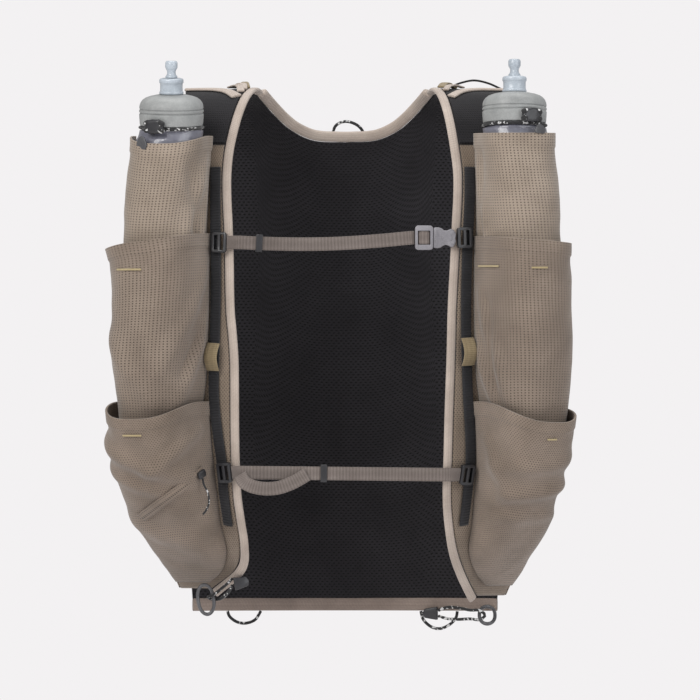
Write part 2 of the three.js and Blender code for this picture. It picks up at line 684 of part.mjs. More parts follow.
for (const side of Object.keys(sides)) {
  add("shoulder_yoke_" + side, wall((u, v) => yokePoint(side, u, v), 4, 9, backMesh), "black");

  const panel = (u, v) => {
    const row = frontRow(side, panelDrop(side, v));
    return row.inner.lerp(row.outer, u);
  };
  add("front_panel_" + side, wall(panel, 3, 22, cloth), "taupeDark");
  add("side_panel_" + side, sidePanel(side), "taupeDark");
  add("flask_pocket_" + side, flaskBag(side), "taupe");
  add("chest_pocket_" + side, openPocket(side, chestPocket[side], mouths.chest[side]), "taupe");
  add("lower_pocket_" + side, openPocket(side, lowerPocket[side], mouths.lower[side]), "taupeDark");

  const places = Array.from({ length: 25 }, (_, i) => openingEdge(side, i / 24));
  const edgePath = places.map(({ edge, out }) => edge.clone().addScaledVector(out, bindingWidth / 2 + 3 * gap));
  const edgeFacings = places.map(({ normal }) => normal);
  const edgeRound = { corners: 6, steps: 32 };
  add("front_binding_" + side, band(edgePath, edgeFacings, bindingWidth, bindingThickness, edgeRound), "trim");

  const railDrops = Array.from({ length: 12 }, (_, i) => THREE.MathUtils.lerp(railTop, railBottom, i / 11));
  const railPath = railDrops.map((drop) => railPlace(side, drop, railThickness / 2));
  const railFacings = railDrops.map((drop) => frontRow(side, drop).normal);
  add("rail_" + side, band(railPath, railFacings, railWidth, railThickness, { steps: 22 }), "rail");
}

// Lays a piece that faces -Y at a place, its width along one direction and its height along another.
function lay(mesh, place, across, up) {
  const x = across.clone().normalize();
  const y = new THREE.Vector3().crossVectors(up, x).normalize();
  const z = new THREE.Vector3().crossVectors(x, y);
  mesh.quaternion.setFromRotationMatrix(new THREE.Matrix4().makeBasis(x, y, z));
  mesh.position.copy(place);
  return mesh;
}

const upright = new THREE.Vector3(0, 0, 1);
const outwards = new THREE.Vector3(0, -1, 0);
const strapDrops = { upper: { left: 0.301, right: 0.292 }, lower: { left: 0.741, right: 0.745 } };
const hookInset = 4; // the hooks' middles lie this much nearer the opening than the rails'

function hookPlace(side, level, past = 0) {
  const { place, across, up, normal } = railFace(side, strapDrops[level][side], gap + hookThickness / 2);
  return { place: place.addScaledVector(across, -sides[side] * (hookInset + past)), across, up, normal };
}

for (const level of Object.keys(strapDrops)) {
  for (const side of Object.keys(sides)) {
    const slotHeight = hookHeight - 2 * hookBar;
    const slotWidth = (hookWidth - 3 * hookBar) / 2;
    const slots = [-1, 1].map((k) => {
      return { x: (k * (slotWidth + hookBar)) / 2, width: slotWidth, height: slotHeight + k * gap };
    });
    const { place, across, up } = hookPlace(side, level);
    const hook = plate(hookWidth, hookHeight, hookThickness, hookBar, slots);
    lay(add(`${level}_hook_${side}`, hook, "hardware"), place, across, up);
  }
}

// A strap leaves its hook level with it, passes over the binding and crosses the opening.
const strapStart = hookWidth / 2 + 2 * gap;
const strapTurn = hookWidth / 2 + bindingWidth + 2;

function strapRoute(from, to, sag) {
  const span = Array.from({ length: 7 }, (_, i) => i / 6);
  const middle = span.map((share) => {
    const p = from[1].place.clone().lerp(to[1].place, share);
    return { place: p.add(new THREE.Vector3(0, 0, -sag * Math.sin(share * Math.PI))), normal: outwards };
  });
  return [from[0], ...middle, to[0]];
}

function strap(name, route) {
  const path = route.map(({ place }) => place);
  const facings = route.map(({ normal }) => normal);
  add(name, band(path, facings, webbingWidth, webbingThickness, { steps: 16 }), "webbing");
  return new THREE.CatmullRomCurve3(path, false, "centripetal");
}

function keeper(name, curve, share) {
  const slot = { x: 0, width: webbingThickness + 2 * gap, height: webbingWidth + 2 * gap };
  const frame = plate(slot.width + 2 * keeperWall, slot.height + 2 * keeperWall, keeperWidth, keeperWall / 2, [slot]);
  frame.rotateZ(Math.PI / 2);
  lay(add(name, frame, "hardware"), curve.getPoint(share), curve.getTangent(share), upright);
}

// The upper strap, its keeper and its fastened side-release buckle, laid out inwards from the right hook.
const inwards = new THREE.Vector3(-1, 0, 0);
const hookEdge = hookPlace("right", "upper", hookWidth / 2 + 2 * gap).place;
const bodyPlace = hookEdge.addScaledVector(inwards, buckleBodyWidth / 2 + gap);
const ladderPlace = bodyPlace.clone().addScaledVector(inwards, (buckleBodyWidth + ladderWidth) / 2 + gap);
add("buckle_body", plate(buckleBodyWidth, buckleBodyHeight, buckleThickness, 3), "buckle").position.copy(bodyPlace);
const ladderSlots = [{ x: 0, width: ladderWidth - 2 * hookBar, height: webbingWidth + gap }];
const ladder = plate(ladderWidth, ladderHeight, buckleThickness, 2.5, ladderSlots);
add("buckle_ladder", ladder, "buckle").position.copy(ladderPlace);

const ends = (side, level) => [hookPlace(side, level, strapStart), hookPlace(side, level, strapTurn)];
const atLadder = [2, 8].map((past) => {
  return { place: ladderPlace.clone().addScaledVector(inwards, ladderWidth / 2 + past * gap), normal: outwards };
});
const upperCurve = strap("upper_strap", strapRoute(ends("left", "upper"), atLadder, strapSag));
keeper("upper_keeper", upperCurve, 0.22);
const lowerCurve = strap("lower_strap", strapRoute(ends("left", "lower"), ends("right", "lower"), 0));
keeper("lower_keeper", lowerCurve, 0.42);

// The loose loop of the lower strap: share of the strap, and its reach forwards and down in shares of tailReach.
const tail = [
  { share: 0.11, forward: 0.36, down: 0.2 },
  { share: 0.14, forward: 0.6, down: 0.85 },
  { share: 0.19, forward: 0.9, down: 1.3 },
  { share: 0.25, forward: 0.9, down: 1.3 },
  { share: 0.31, forward: 0.65, down: 0.8 },
  { share: 0.36, forward: 0.25, down: 0.1 },
];
const tailPath = tail.map(({ share, forward, down }) => {
  return lowerCurve.getPoint(share).add(new THREE.Vector3(0, -forward * tailReach, -down * tailReach));
});
const tailBand = band(tailPath, tailPath.map(() => outwards), webbingWidth, webbingThickness, { steps: 10 });
add("lower_strap_tail", tailBand, "webbing");

// Tan loops that stand off the rails.
const tabDrops = { left: 0.52, right: 0.51 };
for (const side of Object.keys(sides)) {
  const arch = [0, 0.25, 0.5, 0.75, 1].map((share) => {
    const drop = tabDrops[side] + ((share - 0.5) * tabHeight) / vestDrop;
    return railFace(side, drop, gap + webbingThickness / 2 + tabReach * Math.sin(share * Math.PI));
  });
  const path = arch.map(({ place }) => place);
  const loop = band(path, arch.map(({ normal }) => normal), tabWidth, webbingThickness, { steps: 8 });
  add("webbing_tab_" + side, loop, "webbing");
}

// Trims across the front of each shoulder's top, and the strip along the crest of the right one.
const trimPath = [
  { across: 0.04, along: 0.6 },
  { across: 0.25, along: 0.5 },
  { across: 0.5, along: 0.42 },
  { across: 0.75, along: 0.39 },
  { across: 1.0, along: 0.38 },
];
const stripPath = [0.14, 0.36, 0.54, 0.76, 0.98].map((across) => ({ across, along: 0.1 }));
const stripLift = 6.5; // rise of the strip's middle off the yoke

function yokeBand(side, places, lift) {
  const step = 0.01;
  const found = places.map(({ across, along }, i) => {
    const u = yokePoint(side, across + step, along).sub(yokePoint(side, across - step, along));
    const v = yokePoint(side, across, along + step).sub(yokePoint(side, across, along - step));
    const normal = v.cross(u).multiplyScalar(sides[side]).normalize();
    const rise = lift * Math.sin((i / (places.length - 1)) * Math.PI);
    const off = (backMesh + trimThickness) / 2 + 2 * gap + rise;
    return { point: yokePoint(side, across, along).addScaledVector(normal, off), normal };
  });
  const path = found.map(({ point }) => point);
  return band(path, found.map(({ normal }) => normal), trimWidth, trimThickness, { steps: 8 });
}

for (const side of Object.keys(sides)) add("shoulder_trim_" + side, yokeBand(side, trimPath, 0), "trim");
add("shoulder_strip_right", yokeBand("right", stripPath, stripLift), "black");

// The zip on the left lower pocket: the welt's ends and its slider, by distance outwards and height.
const weltEnds = { low: { x: 157, z: -333 }, high: { x: 112, z: -298 } };
const weltPlaces = Array.from({ length: 7 }, (_, i) => {
  const x = THREE.MathUtils.lerp(weltEnds.low.x, weltEnds.high.x, i / 6);
  const z = THREE.MathUtils.lerp(weltEnds.low.z, weltEnds.high.z, i / 6);
  return pocketPlace("left", lowerPocket.left, x, -z / vestDrop, gap + weltThickness / 2);
});
const weltPath = weltPlaces.map(({ point }) => point);
const weltFacings = weltPlaces.map(({ normal }) => normal);
add("zip_welt", band(weltPath, weltFacings, weltWidth, weltThickness, { steps: 12 }), "taupe");
const weltCurve = new THREE.CatmullRomCurve3(weltPath, false, "centripetal");
const sliderAt = 0.94;
const sliderOut = weltFacings[weltFacings.length - 1];
const sliderAlong = weltCurve.getTangent(sliderAt);
const sliderOff = weltThickness / 2 + 2 * gap + sliderThickness / 2;
const sliderPlace = weltCurve.getPoint(sliderAt).addScaledVector(sliderOut, sliderOff);
const slider = plate(sliderWidth, sliderHeight, sliderThickness, 1);
const sliderAcross = new THREE.Vector3().crossVectors(sliderAlong, sliderOut);
lay(add("zip_slider", slider, "hardware"), sliderPlace, sliderAcross, sliderAlong);

// Soft flasks: a bottle in each pocket, a cap that turns on its neck, a bite valve, and the elastic that holds it.
// Each bottle ring: its share of the way from the neck down to the base, width and depth in shares of the flask's.
const bottleShape = [
  { fall: 0.04, width: 0.92, depth: 0.94 },
  { fall: 0.2, width: 0.88, depth: 0.99 },
  { fall: 0.5, width: 0.9, depth: 0.98 },
  { fall: 0.86, width: 0.85, depth: 0.95 },
  { fall: 0.96, width: 0.74, depth: 0.8 },
  { fall: 1, width: 0.48, depth: 0.5 },
];

// The middle of a flask pocket's hollow at a height, and the directions across it and through it.
function pocketMiddle(side, z) {
  const table = flaskPocket[side];
  const drop = Math.max(-z / vestDrop, table[0].drop);
  const { across, normal } = frontRow(side, drop);
  const middle = pocketPoint(side, table, 0, drop).add(pocketPoint(side, table, 1, drop)).multiplyScalar(0.5);
  middle.addScaledVector(normal, (read(table, "drop", "lift", drop) * chestDepth) / 2);
  return { x: middle.x, y: middle.y, across: across.multiplyScalar(sides[side]), through: normal.negate() };
}

const eastwards = new THREE.Vector3(1, 0, 0);
const backwards = new THREE.Vector3(0, 1, 0);

function ellipse(centre, across, through, a, b) {
  return Array.from({ length: flaskSides }, (_, i) => {
    const turn = (i / flaskSides) * 2 * Math.PI;
    return centre.clone().addScaledVector(across, a * Math.cos(turn)).addScaledVector(through, b * Math.sin(turn));
  });
}

function bottle(side, neck, tilt) {
  const rings = (inset) => {
    const neckRings = [neckHeight, 0].map((height) => {
      const radius = neckRadius - inset;
      const ring = ellipse(new THREE.Vector3(0, 0, height), eastwards, backwards, radius, radius);
      return ring.map((p) => p.applyEuler(tilt).add(neck));
    });
    const body = bottleShape.map(({ fall, width, depth }) => {
      const z = THREE.MathUtils.lerp(neck.z, -flaskDrop, fall) + (fall === 1 ? inset : 0);
      const { x, y, across, through } = pocketMiddle(side, z);
      const a = (width * flaskWidth) / 2 - inset;
      return ellipse(new THREE.Vector3(x, y, z), across, through, a, (depth * flaskDepth) / 2 - inset);
    });
    return [...neckRings, ...body];
  };
  return loft([...rings(0).reverse(), ...rings(flaskWall)]);
}

const wasm = await Module();
wasm.setup();

function solid(geometry) {
  const vertProperties = geometry.attributes.position.array;
  const triVerts = new Uint32Array(geometry.index.array);
  return new wasm.Manifold(new wasm.Mesh({ numProp: 3, vertProperties, triVerts }));
}

function joined(first, second) {
  const { vertProperties, triVerts } = solid(first).add(solid(second)).getMesh();
  const geometry = new THREE.BufferGeometry();
  geometry.setAttribute("position", new THREE.BufferAttribute(vertProperties, 3));
  geometry.setIndex([...triVerts]);
  return mergeVertices(geometry, 1e-3);
}

const capBore = neckRadius + 2 * gap;
const capProfile = [
  [0, capHeight - capTop],
  [capBore, capHeight - capTop],
  [capBore, 0],
  [capRadius, 0],
  [capRadius, 0.6 * capHeight],
  [0.94 * capRadius, 0.78 * capHeight],
  [0.7 * capRadius, 0.95 * capHeight],
  [valveRadius, capHeight],
  [0, capHeight],
];
const valveProfile = [
  [0, 0],
  [valveRadius, 0],
  [valveRadius, 0.75 * valveHeight],
  [0.8 * valveRadius, valveHeight],
  [0, valveHeight],
];
const tipProfile = [
  [tipBore, 0],
  [0.75 * tipRadius, 0],
  [0.7 * tipRadius, 0.3 * tipHeight],
  [tipRadius, 0.45 * tipHeight],
  [tipRadius, 0.85 * tipHeight],
  [0.8 * tipRadius, tipHeight],
  [tipBore, tipHeight],
];
const elasticProfile = [
  [capBore, 0],
  [elasticRadius, 0],
  [elasticRadius, elasticHeight],
  [capBore, elasticHeight],
];
const lockTurn = { left: -28, right: 28 }; // degrees round the cap from straight ahead
const lockDrop = { left: -0.5, right: -4 }; // the locks' middles below the caps' rims
const pullTurn = { left: -44, right: 38 };
const pullStand = { left: 6.3, right: 5.1 }; // the pulls hang this far in front of half a pocket's lift
// The pulls' teardrop and the cord tabs' outlines, in shares of their widths and heights.
const pullShape = [[0, 0.5], [-0.28, 0.36], [-0.5, -0.1], [-0.36, -0.42], [0.36, -0.42], [0.5, -0.1], [0.28, 0.36]];
const cordTabShape = [[-0.5, 0.5], [-0.5, -0.5], [0.36, -0.34], [0.5, 0], [0.36, 0.34]];

function tag(shape, width, height, thickness) {
  return flatBody(new THREE.Shape(shape.map(([x, z]) => new THREE.Vector2(x * width, z * height))), thickness);
}

for (const side of Object.keys(sides)) {
  const middle = pocketMiddle(side, -capRim[side]);
  const neck = new THREE.Vector3(middle.x - sides[side] * capShift, middle.y, -capRim[side]);
  const tilt = new THREE.Euler(sides[side] * -flaskTilt, 0, 0);
  add("flask_bottle_" + side, bottle(side, neck, tilt), "bottle");

  const head = new THREE.Group();
  head.position.copy(neck);
  head.rotation.copy(tilt);
  object.add(head);
  const rim = elasticHeight + 2 * gap;
  add("flask_cap_" + side, turned(capProfile, 20), "cap", head).position.z = rim;
  add("flask_valve_" + side, turned(valveProfile, 12), "valve", head).position.z = rim + capHeight + gap;
  const tipBase = rim + capHeight + valveHeight + 2 * gap;
  add("flask_tip_" + side, turned(tipProfile, 8), "valve", head).position.z = tipBase;

  const turn = THREE.MathUtils.degToRad(lockTurn[side]);
  const away = new THREE.Vector3(Math.sin(turn), -Math.cos(turn), 0);
  const lock = plate(lockLength, lockHeight, lockThickness, 2.5);
  lock.rotateZ(turn);
  const reach = capRadius + gap + lockThickness / 2;
  lock.translate(away.x * reach, away.y * reach, rim - lockDrop[side]);
  const elastic = turned(elasticProfile, flaskSides);
  add("flask_elastic_" + side, joined(elastic, lock), "hardware", head).position.z = gap;

  const pullAngle = THREE.MathUtils.degToRad(pullTurn[side]);
  const pullAway = new THREE.Vector3(Math.sin(pullAngle), -Math.cos(pullAngle), 0);
  const pullTop = rim - lockDrop[side] - lockHeight / 2 - gap;
  const pullOff = (flaskPocket[side][0].lift * chestDepth) / 2 + pullStand[side];
  const pullPlace = new THREE.Vector3(0, 0, pullTop - pullHeight[side] / 2).addScaledVector(pullAway, pullOff);
  const pull = add("flask_pull_" + side, tag(pullShape, pullWidth, pullHeight[side], pullThickness), "rail", head);
  lay(pull, pullPlace, new THREE.Vector3(Math.cos(pullAngle), Math.sin(pullAngle), 0), upright);
}

// Cord rings at the hem's corners, each with its leans about the row's axes, and the tabs on their doubled cords.
const cordRings = {
  left: { place: [-108.5, -2.5, -399], lean: [0, -8, 0] },
  right: { place: [111.2, 40, -411.8], lean: [-55, 0, 0] },
};
const cordTabs = {
  left: { place: [-80.5, -17.8, -385.5], lean: [0, -12, 8] },
  right: { place: [66.7, 63.2, -410.7], lean: [0, 0, -14] },
};
const placed = (mesh, { place, lean }) => {
  mesh.position.set(...place);
  mesh.rotation.set(...lean.map((degrees) => THREE.MathUtils.degToRad(degrees)));
};
for (const side of Object.keys(sides)) {
  const hole = { x: 0, width: ringWidth - 2 * ringBar, height: ringHeight - 2 * ringBar };
  const ring = plate(ringWidth, ringHeight, ringThickness, 0.48 * ringWidth, [hole]);
  placed(add("cord_ring_" + side, ring, "rail"), cordRings[side]);
  const tabBody = tag(cordTabShape, -sides[side] * cordTabWidth, cordTabHeight, cordTabThickness);
  placed(add("cord_tab_" + side, tabBody, "hardware"), cordTabs[side]);
}

// Cords: the loop at the neck, the loops under the hem, the doubled cinch cords and the zip's pull.
const cords = {
  hang_loop: {
    diameter: cordDiameter,
    steps: 9,
    route: [
      [-9.4, 90.9, -38],
      [-9.3, 91.1, -33],
      [-7, 91.3, -28],
      [0, 91.5, -25],
      [8.6, 91.3, -27.3],
      [13.5, 91.1, -32],
      [14.8, 90.9, -38],
    ],
  },
  hem_loop_left: {
    diameter: cordDiameter,
    steps: 8,
    route: [
      [-92, 61.7, -409.1],
      [-90.5, 62.5, -413],
      [-85, 64, -417.3],
      [-78, 66, -418.5],
      [-70.5, 68, -415.8],
      [-66, 69.6, -409.1],
    ],
  },
  hem_loop_right: {
    diameter: cordDiameter,
    steps: 9,
    route: [
      [59.5, 71.1, -409.1],
      [61, 70.5, -415],
      [67, 69, -421],
      [74, 67, -422.8],
      [82, 65, -419.5],
      [87, 63.3, -414],
      [88, 63.1, -409.1],
    ],
  },
  cinch_cord_left: {
    diameter: cordDiameter,
    steps: 13,
    route: [
      [-88.2, -18.8, -382.8],
      [-90.6, -15, -385.4],
      [-94.5, -9.8, -388.8],
      [-98.8, -6.9, -392.5],
      [-103.2, -6.2, -395.6],
      [-106.8, -2.5, -397.2],
      [-103.4, 1.2, -398.8],
      [-97.8, -1.8, -398.6],
      [-92.6, -8.2, -395],
      [-89.5, -13.4, -391],
      [-88.1, -17.2, -388],
    ],
  },
  cinch_cord_right: {
    diameter: cordDiameter,
    steps: 13,
    route: [
      [73.2, 61.2, -408.4],
      [80, 58.6, -406],
      [90, 53, -406.5],
      [98, 45.5, -408],
      [105.4, 37.2, -408.2],
      [109.6, 40, -411.8],
      [105.4, 42.8, -415.4],
      [98, 46.5, -414.8],
      [88, 53.5, -415.3],
      [79, 59, -414.6],
      [73.2, 61.2, -412.8],
    ],
  },
  zip_pull: {
    diameter: thinCordDiameter,
    steps: 8,
    route: [
      [-110.25, -89.55, -303.95],
      [-109.6, -89.6, -308],
      [-106, -87.5, -316],
      [-105.6, -85.8, -323],
      [-108.6, -85.2, -330.7],
    ],
  },
};
for (const [name, { diameter, steps, route }] of Object.entries(cords)) {
  add(name, cord(route, diameter, steps), "cord");
}

export default object;
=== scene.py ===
import bisect
import json
import math
import bpy
import bmesh
from mathutils import Vector, Matrix, Euler, noise


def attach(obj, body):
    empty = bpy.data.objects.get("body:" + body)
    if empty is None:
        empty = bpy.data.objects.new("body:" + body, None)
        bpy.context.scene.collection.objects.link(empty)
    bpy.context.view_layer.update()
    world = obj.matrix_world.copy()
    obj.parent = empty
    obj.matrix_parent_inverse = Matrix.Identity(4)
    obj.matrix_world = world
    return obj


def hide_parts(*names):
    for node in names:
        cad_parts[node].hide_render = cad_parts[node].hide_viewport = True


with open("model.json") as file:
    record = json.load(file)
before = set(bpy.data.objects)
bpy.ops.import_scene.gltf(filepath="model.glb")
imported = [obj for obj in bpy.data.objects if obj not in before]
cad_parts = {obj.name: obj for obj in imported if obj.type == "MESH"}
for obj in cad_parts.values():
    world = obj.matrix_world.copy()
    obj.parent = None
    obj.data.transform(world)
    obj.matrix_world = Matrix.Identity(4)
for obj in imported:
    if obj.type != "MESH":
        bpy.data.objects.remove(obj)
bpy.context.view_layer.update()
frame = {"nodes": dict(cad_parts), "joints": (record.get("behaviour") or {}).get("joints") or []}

mm = 0.001
sides = {"left": -1, "right": 1}

# camera, light and floor
camera = {"distance": 14.0, "across": 0.0039, "height": -0.2044, "frameWidth": 0.546}
lights = {"key": 62, "fill": 25, "top": 24, "floor": (0.805, 0.79, 0.797)}

camData = bpy.data.cameras.new("frontCamera")
camData.sensor_width = 36
camData.lens = 36 * camera["distance"] / camera["frameWidth"]
camData.clip_end = 40
camObject = bpy.data.objects.new("frontCamera", camData)
camObject.location = (camera["across"], -camera["distance"], camera["height"])
camObject.rotation_euler = (math.pi / 2, 0, 0)
bpy.context.scene.collection.objects.link(camObject)
bpy.context.scene.camera = camObject
bpy.context.scene.view_settings.view_transform = "Standard"


def deselectAll():
    if bpy.context.object and bpy.context.object.mode != "OBJECT":
        bpy.ops.object.mode_set(mode="OBJECT")
    bpy.ops.object.select_all(action="DESELECT")


def areaLight(name, place, aim, size, power, colour):
    data = bpy.data.lights.new(name, "AREA")
    data.shape = "RECTANGLE"
    data.size, data.size_y = size
    data.energy = power
    data.color = colour
    lamp = bpy.data.objects.new(name, data)
    lamp.location = place
    lamp.rotation_euler = (Vector(aim) - Vector(place)).to_track_quat("-Z", "Y").to_euler()
    bpy.context.scene.collection.objects.link(lamp)


areaLight("keyLight", (-1.5, -2.2, 1.3), (0, 0, -0.2), (1.6, 1.6), lights["key"], (1, 0.99, 0.97))
areaLight("fillLight", (1.9, -1.9, 0.5), (0, 0, -0.2), (1.8, 1.8), lights["fill"], (0.96, 0.98, 1))
areaLight("topLight", (0.2, 0.3, 1.9), (0, 0, -0.2), (1.6, 1.2), lights["top"], (1, 1, 1))
world = bpy.data.worlds.new("softWorld")
bpy.context.scene.world = world
world.use_nodes = True
worldTree = world.node_tree
backdrop = worldTree.nodes["Background"]
backdrop.inputs["Color"].default_value = (0.896, 0.88, 0.888, 1)
softLight = worldTree.nodes.new("ShaderNodeBackground")
softLight.inputs["Color"].default_value = (0.9, 0.89, 0.9, 1)
softLight.inputs["Strength"].default_value = 0.42
worldMix = worldTree.nodes.new("ShaderNodeMixShader")
worldTree.links.new(worldTree.nodes.new("ShaderNodeLightPath").outputs["Is Camera Ray"], worldMix.inputs[0])
worldTree.links.new(softLight.outputs[0], worldMix.inputs[1])
worldTree.links.new(backdrop.outputs[0], worldMix.inputs[2])
worldTree.links.new(worldMix.outputs[0], worldTree.nodes["World Output"].inputs["Surface"])
print("camera and lights are set")


# materials
def nodeGroup(name, inputs, outputs):
    tree = bpy.data.node_groups.new(name, "ShaderNodeTree")
    for label, kind, value in inputs:
        socket = tree.interface.new_socket(name=label, in_out="INPUT", socket_type=kind)
        if value is not None:
            socket.default_value = value
    for label, kind in outputs:
        tree.interface.new_socket(name=label, in_out="OUTPUT", socket_type=kind)
    return tree, tree.nodes.new("NodeGroupInput"), tree.nodes.new("NodeGroupOutput")


def mathNode(tree, operation, first, second=None):
    node = tree.nodes.new("ShaderNodeMath")
    node.operation = operation
    for i, value in enumerate((first, second)):
        if value is None:
            continue
        if isinstance(value, (int, float)):
            node.inputs[i].default_value = value
        else:
            tree.links.new(value, node.inputs[i])
    return node.outputs[0]


def mixColour(tree, share, first, second, blend="MIX"):
    node = tree.nodes.new("ShaderNodeMix")
    node.data_type = "RGBA"
    node.blend_type = blend
    for socket, value in ((node.inputs[0], share), (node.inputs[6], first), (node.inputs[7], second)):
        if isinstance(value, (int, float, tuple)):
            socket.default_value = value
        else:
            tree.links.new(value, socket)
    return node.outputs[2]


# rows of small holes, each row shifted by half a pitch: mask 1 in a hole, where the mesh cloths put their
# painted shade
holeTree, holeIn, holeOut = nodeGroup(
    "holeRows",
    [("Vector", "NodeSocketVector", None), ("Across", "NodeSocketFloat", 0.002),
     ("Up", "NodeSocketFloat", 0.002),
     ("Shift", "NodeSocketFloat", 0.5), ("Size", "NodeSocketFloat", 0.5)],
    [("Hole", "NodeSocketFloat")])
split = holeTree.nodes.new("ShaderNodeSeparateXYZ")
holeTree.links.new(holeIn.outputs["Vector"], split.inputs[0])
rowAt = mathNode(holeTree, "DIVIDE", split.outputs[1], holeIn.outputs["Up"])
rowNumber = mathNode(holeTree, "FLOOR", rowAt)
rowShift = mathNode(holeTree, "MULTIPLY", rowNumber, holeIn.outputs["Shift"])
unshifted = mathNode(holeTree, "DIVIDE", split.outputs[0], holeIn.outputs["Across"])
columnAt = mathNode(holeTree, "ADD", unshifted, rowShift)
fromColumn = mathNode(holeTree, "SUBTRACT", mathNode(holeTree, "FRACT", columnAt), 0.5)
fromRow = mathNode(holeTree, "SUBTRACT", mathNode(holeTree, "FRACT", rowAt), 0.5)
squares = mathNode(holeTree, "ADD", mathNode(holeTree, "MULTIPLY", fromColumn, fromColumn),
                   mathNode(holeTree, "MULTIPLY", fromRow, fromRow))
away = mathNode(holeTree, "SQRT", squares)
radius = mathNode(holeTree, "MULTIPLY", holeIn.outputs["Size"], 0.5)
ramp = holeTree.nodes.new("ShaderNodeMapRange")
ramp.interpolation_type = "SMOOTHSTEP"
holeTree.links.new(away, ramp.inputs["Value"])
holeTree.links.new(radius, ramp.inputs["From Max"])
holeTree.links.new(mathNode(holeTree, "MULTIPLY", radius, 0.55), ramp.inputs["From Min"])
ramp.inputs["To Min"].default_value = 1
ramp.inputs["To Max"].default_value = 0
holeTree.links.new(ramp.outputs[0], holeOut.inputs["Hole"])

# slow changes of tone over a cloth, and fine thread noise: a colour and a height
toneTree, toneIn, toneOut = nodeGroup(
    "clothTone",
    [("Vector", "NodeSocketVector", None), ("Light", "NodeSocketColor", (0.5, 0.5, 0.5, 1)),
     ("Dark", "NodeSocketColor", (0.4, 0.4, 0.4, 1)), ("Patch", "NodeSocketFloat", 30),
     ("Thread", "NodeSocketFloat", 1400)],
    [("Color", "NodeSocketColor"), ("Grain", "NodeSocketFloat")])
patches = toneTree.nodes.new("ShaderNodeTexNoise")
patches.inputs["Detail"].default_value = 4
threads = toneTree.nodes.new("ShaderNodeTexNoise")
threads.inputs["Detail"].default_value = 2
for texture, scale in ((patches, "Patch"), (threads, "Thread")):
    toneTree.links.new(toneIn.outputs["Vector"], texture.inputs["Vector"])
    toneTree.links.new(toneIn.outputs[scale], texture.inputs["Scale"])
shade = mathNode(toneTree, "ADD", mathNode(toneTree, "MULTIPLY", patches.outputs[0], 0.75),
                 mathNode(toneTree, "MULTIPLY", threads.outputs[0], 0.45))
level = toneTree.nodes.new("ShaderNodeMapRange")
toneTree.links.new(shade, level.inputs["Value"])
level.inputs["From Min"].default_value = 0.38
level.inputs["From Max"].default_value = 0.82
toneTree.links.new(mixColour(toneTree, level.outputs[0], toneIn.outputs["Dark"], toneIn.outputs["Light"]),
                   toneOut.inputs["Color"])
toneTree.links.new(threads.outputs[0], toneOut.inputs["Grain"])

# raised ribs along or across a band: 0 in the grooves, 1 on the ribs; the grooves get painted shade
ribTree, ribIn, ribOut = nodeGroup(
    "bandRibs",
    [("Vector", "NodeSocketVector", None), ("Along", "NodeSocketFloat", 0.0015),
     ("Across", "NodeSocketFloat", 0.0012),
     ("Slant", "NodeSocketFloat", 0.0)],
    [("Rib", "NodeSocketFloat"), ("Line", "NodeSocketFloat")])
parts = ribTree.nodes.new("ShaderNodeSeparateXYZ")
ribTree.links.new(ribIn.outputs["Vector"], parts.inputs[0])
lean = mathNode(ribTree, "MULTIPLY", parts.outputs[1], ribIn.outputs["Slant"])
leaning = mathNode(ribTree, "ADD", parts.outputs[0], lean)
for value, pitch, label in ((leaning, "Along", "Rib"), (parts.outputs[1], "Across", "Line")):
    turns = mathNode(ribTree, "MULTIPLY", mathNode(ribTree, "DIVIDE", value, ribIn.outputs[pitch]),
                     2 * math.pi)
    halved = mathNode(ribTree, "MULTIPLY", mathNode(ribTree, "SINE", turns), 0.5)
    wave = mathNode(ribTree, "ADD", halved, 0.5)
    ribTree.links.new(wave, ribOut.inputs[label])


def linear(rgb):
    return tuple(((c / 255 + 0.055) / 1.055) ** 2.4 if c > 10 else c / 255 / 12.92 for c in rgb) + (1,)


def newMaterial(name, roughness, sheen=0.0, specular=0.5):
    material = bpy.data.materials.new(name)
    material.use_nodes = True
    shader = material.node_tree.nodes["Principled BSDF"]
    shader.inputs["Roughness"].default_value = roughness
    shader.inputs["Sheen Weight"].default_value = sheen
    shader.inputs["Specular IOR Level"].default_value = specular
    return material, material.node_tree, shader


def place(tree, group, **values):
    node = tree.nodes.new("ShaderNodeGroup")
    node.node_tree = group
    for label, value in values.items():
        if isinstance(value, (int, float, tuple)):
            node.inputs[label].default_value = value
        else:
            tree.links.new(value, node.inputs[label])
    return node


def bump(tree, shader, height, strength, depth):
    node = tree.nodes.new("ShaderNodeBump")
    node.inputs["Strength"].default_value = strength
    node.inputs["Distance"].default_value = depth
    tree.links.new(height, node.inputs["Height"])
    tree.links.new(node.outputs[0], shader.inputs["Normal"])


def meshCloth(name, light, dark, hole, pitch, size, shift, roughness=0.85, sheen=0.25, depth=0.0004):
    material, tree, shader = newMaterial(name, roughness, sheen, 0.25)
    coords = tree.nodes.new("ShaderNodeTexCoord")
    tone = place(tree, toneTree, Vector=coords.outputs["Object"], Light=linear(light), Dark=linear(dark))
    holes = place(tree, holeTree, Vector=coords.outputs["UV"], Across=pitch[0], Up=pitch[1], Shift=shift,
                  Size=size)
    # the holes get the hole colour: painted shade inside the mesh holes
    tree.links.new(mixColour(tree, holes.outputs[0], tone.outputs[0], linear(hole)),
                   shader.inputs["Base Color"])
    height = mathNode(tree, "SUBTRACT", mathNode(tree, "MULTIPLY", tone.outputs["Grain"], 0.35),
                      holes.outputs[0])
    bump(tree, shader, height, 0.7, depth)
    return material


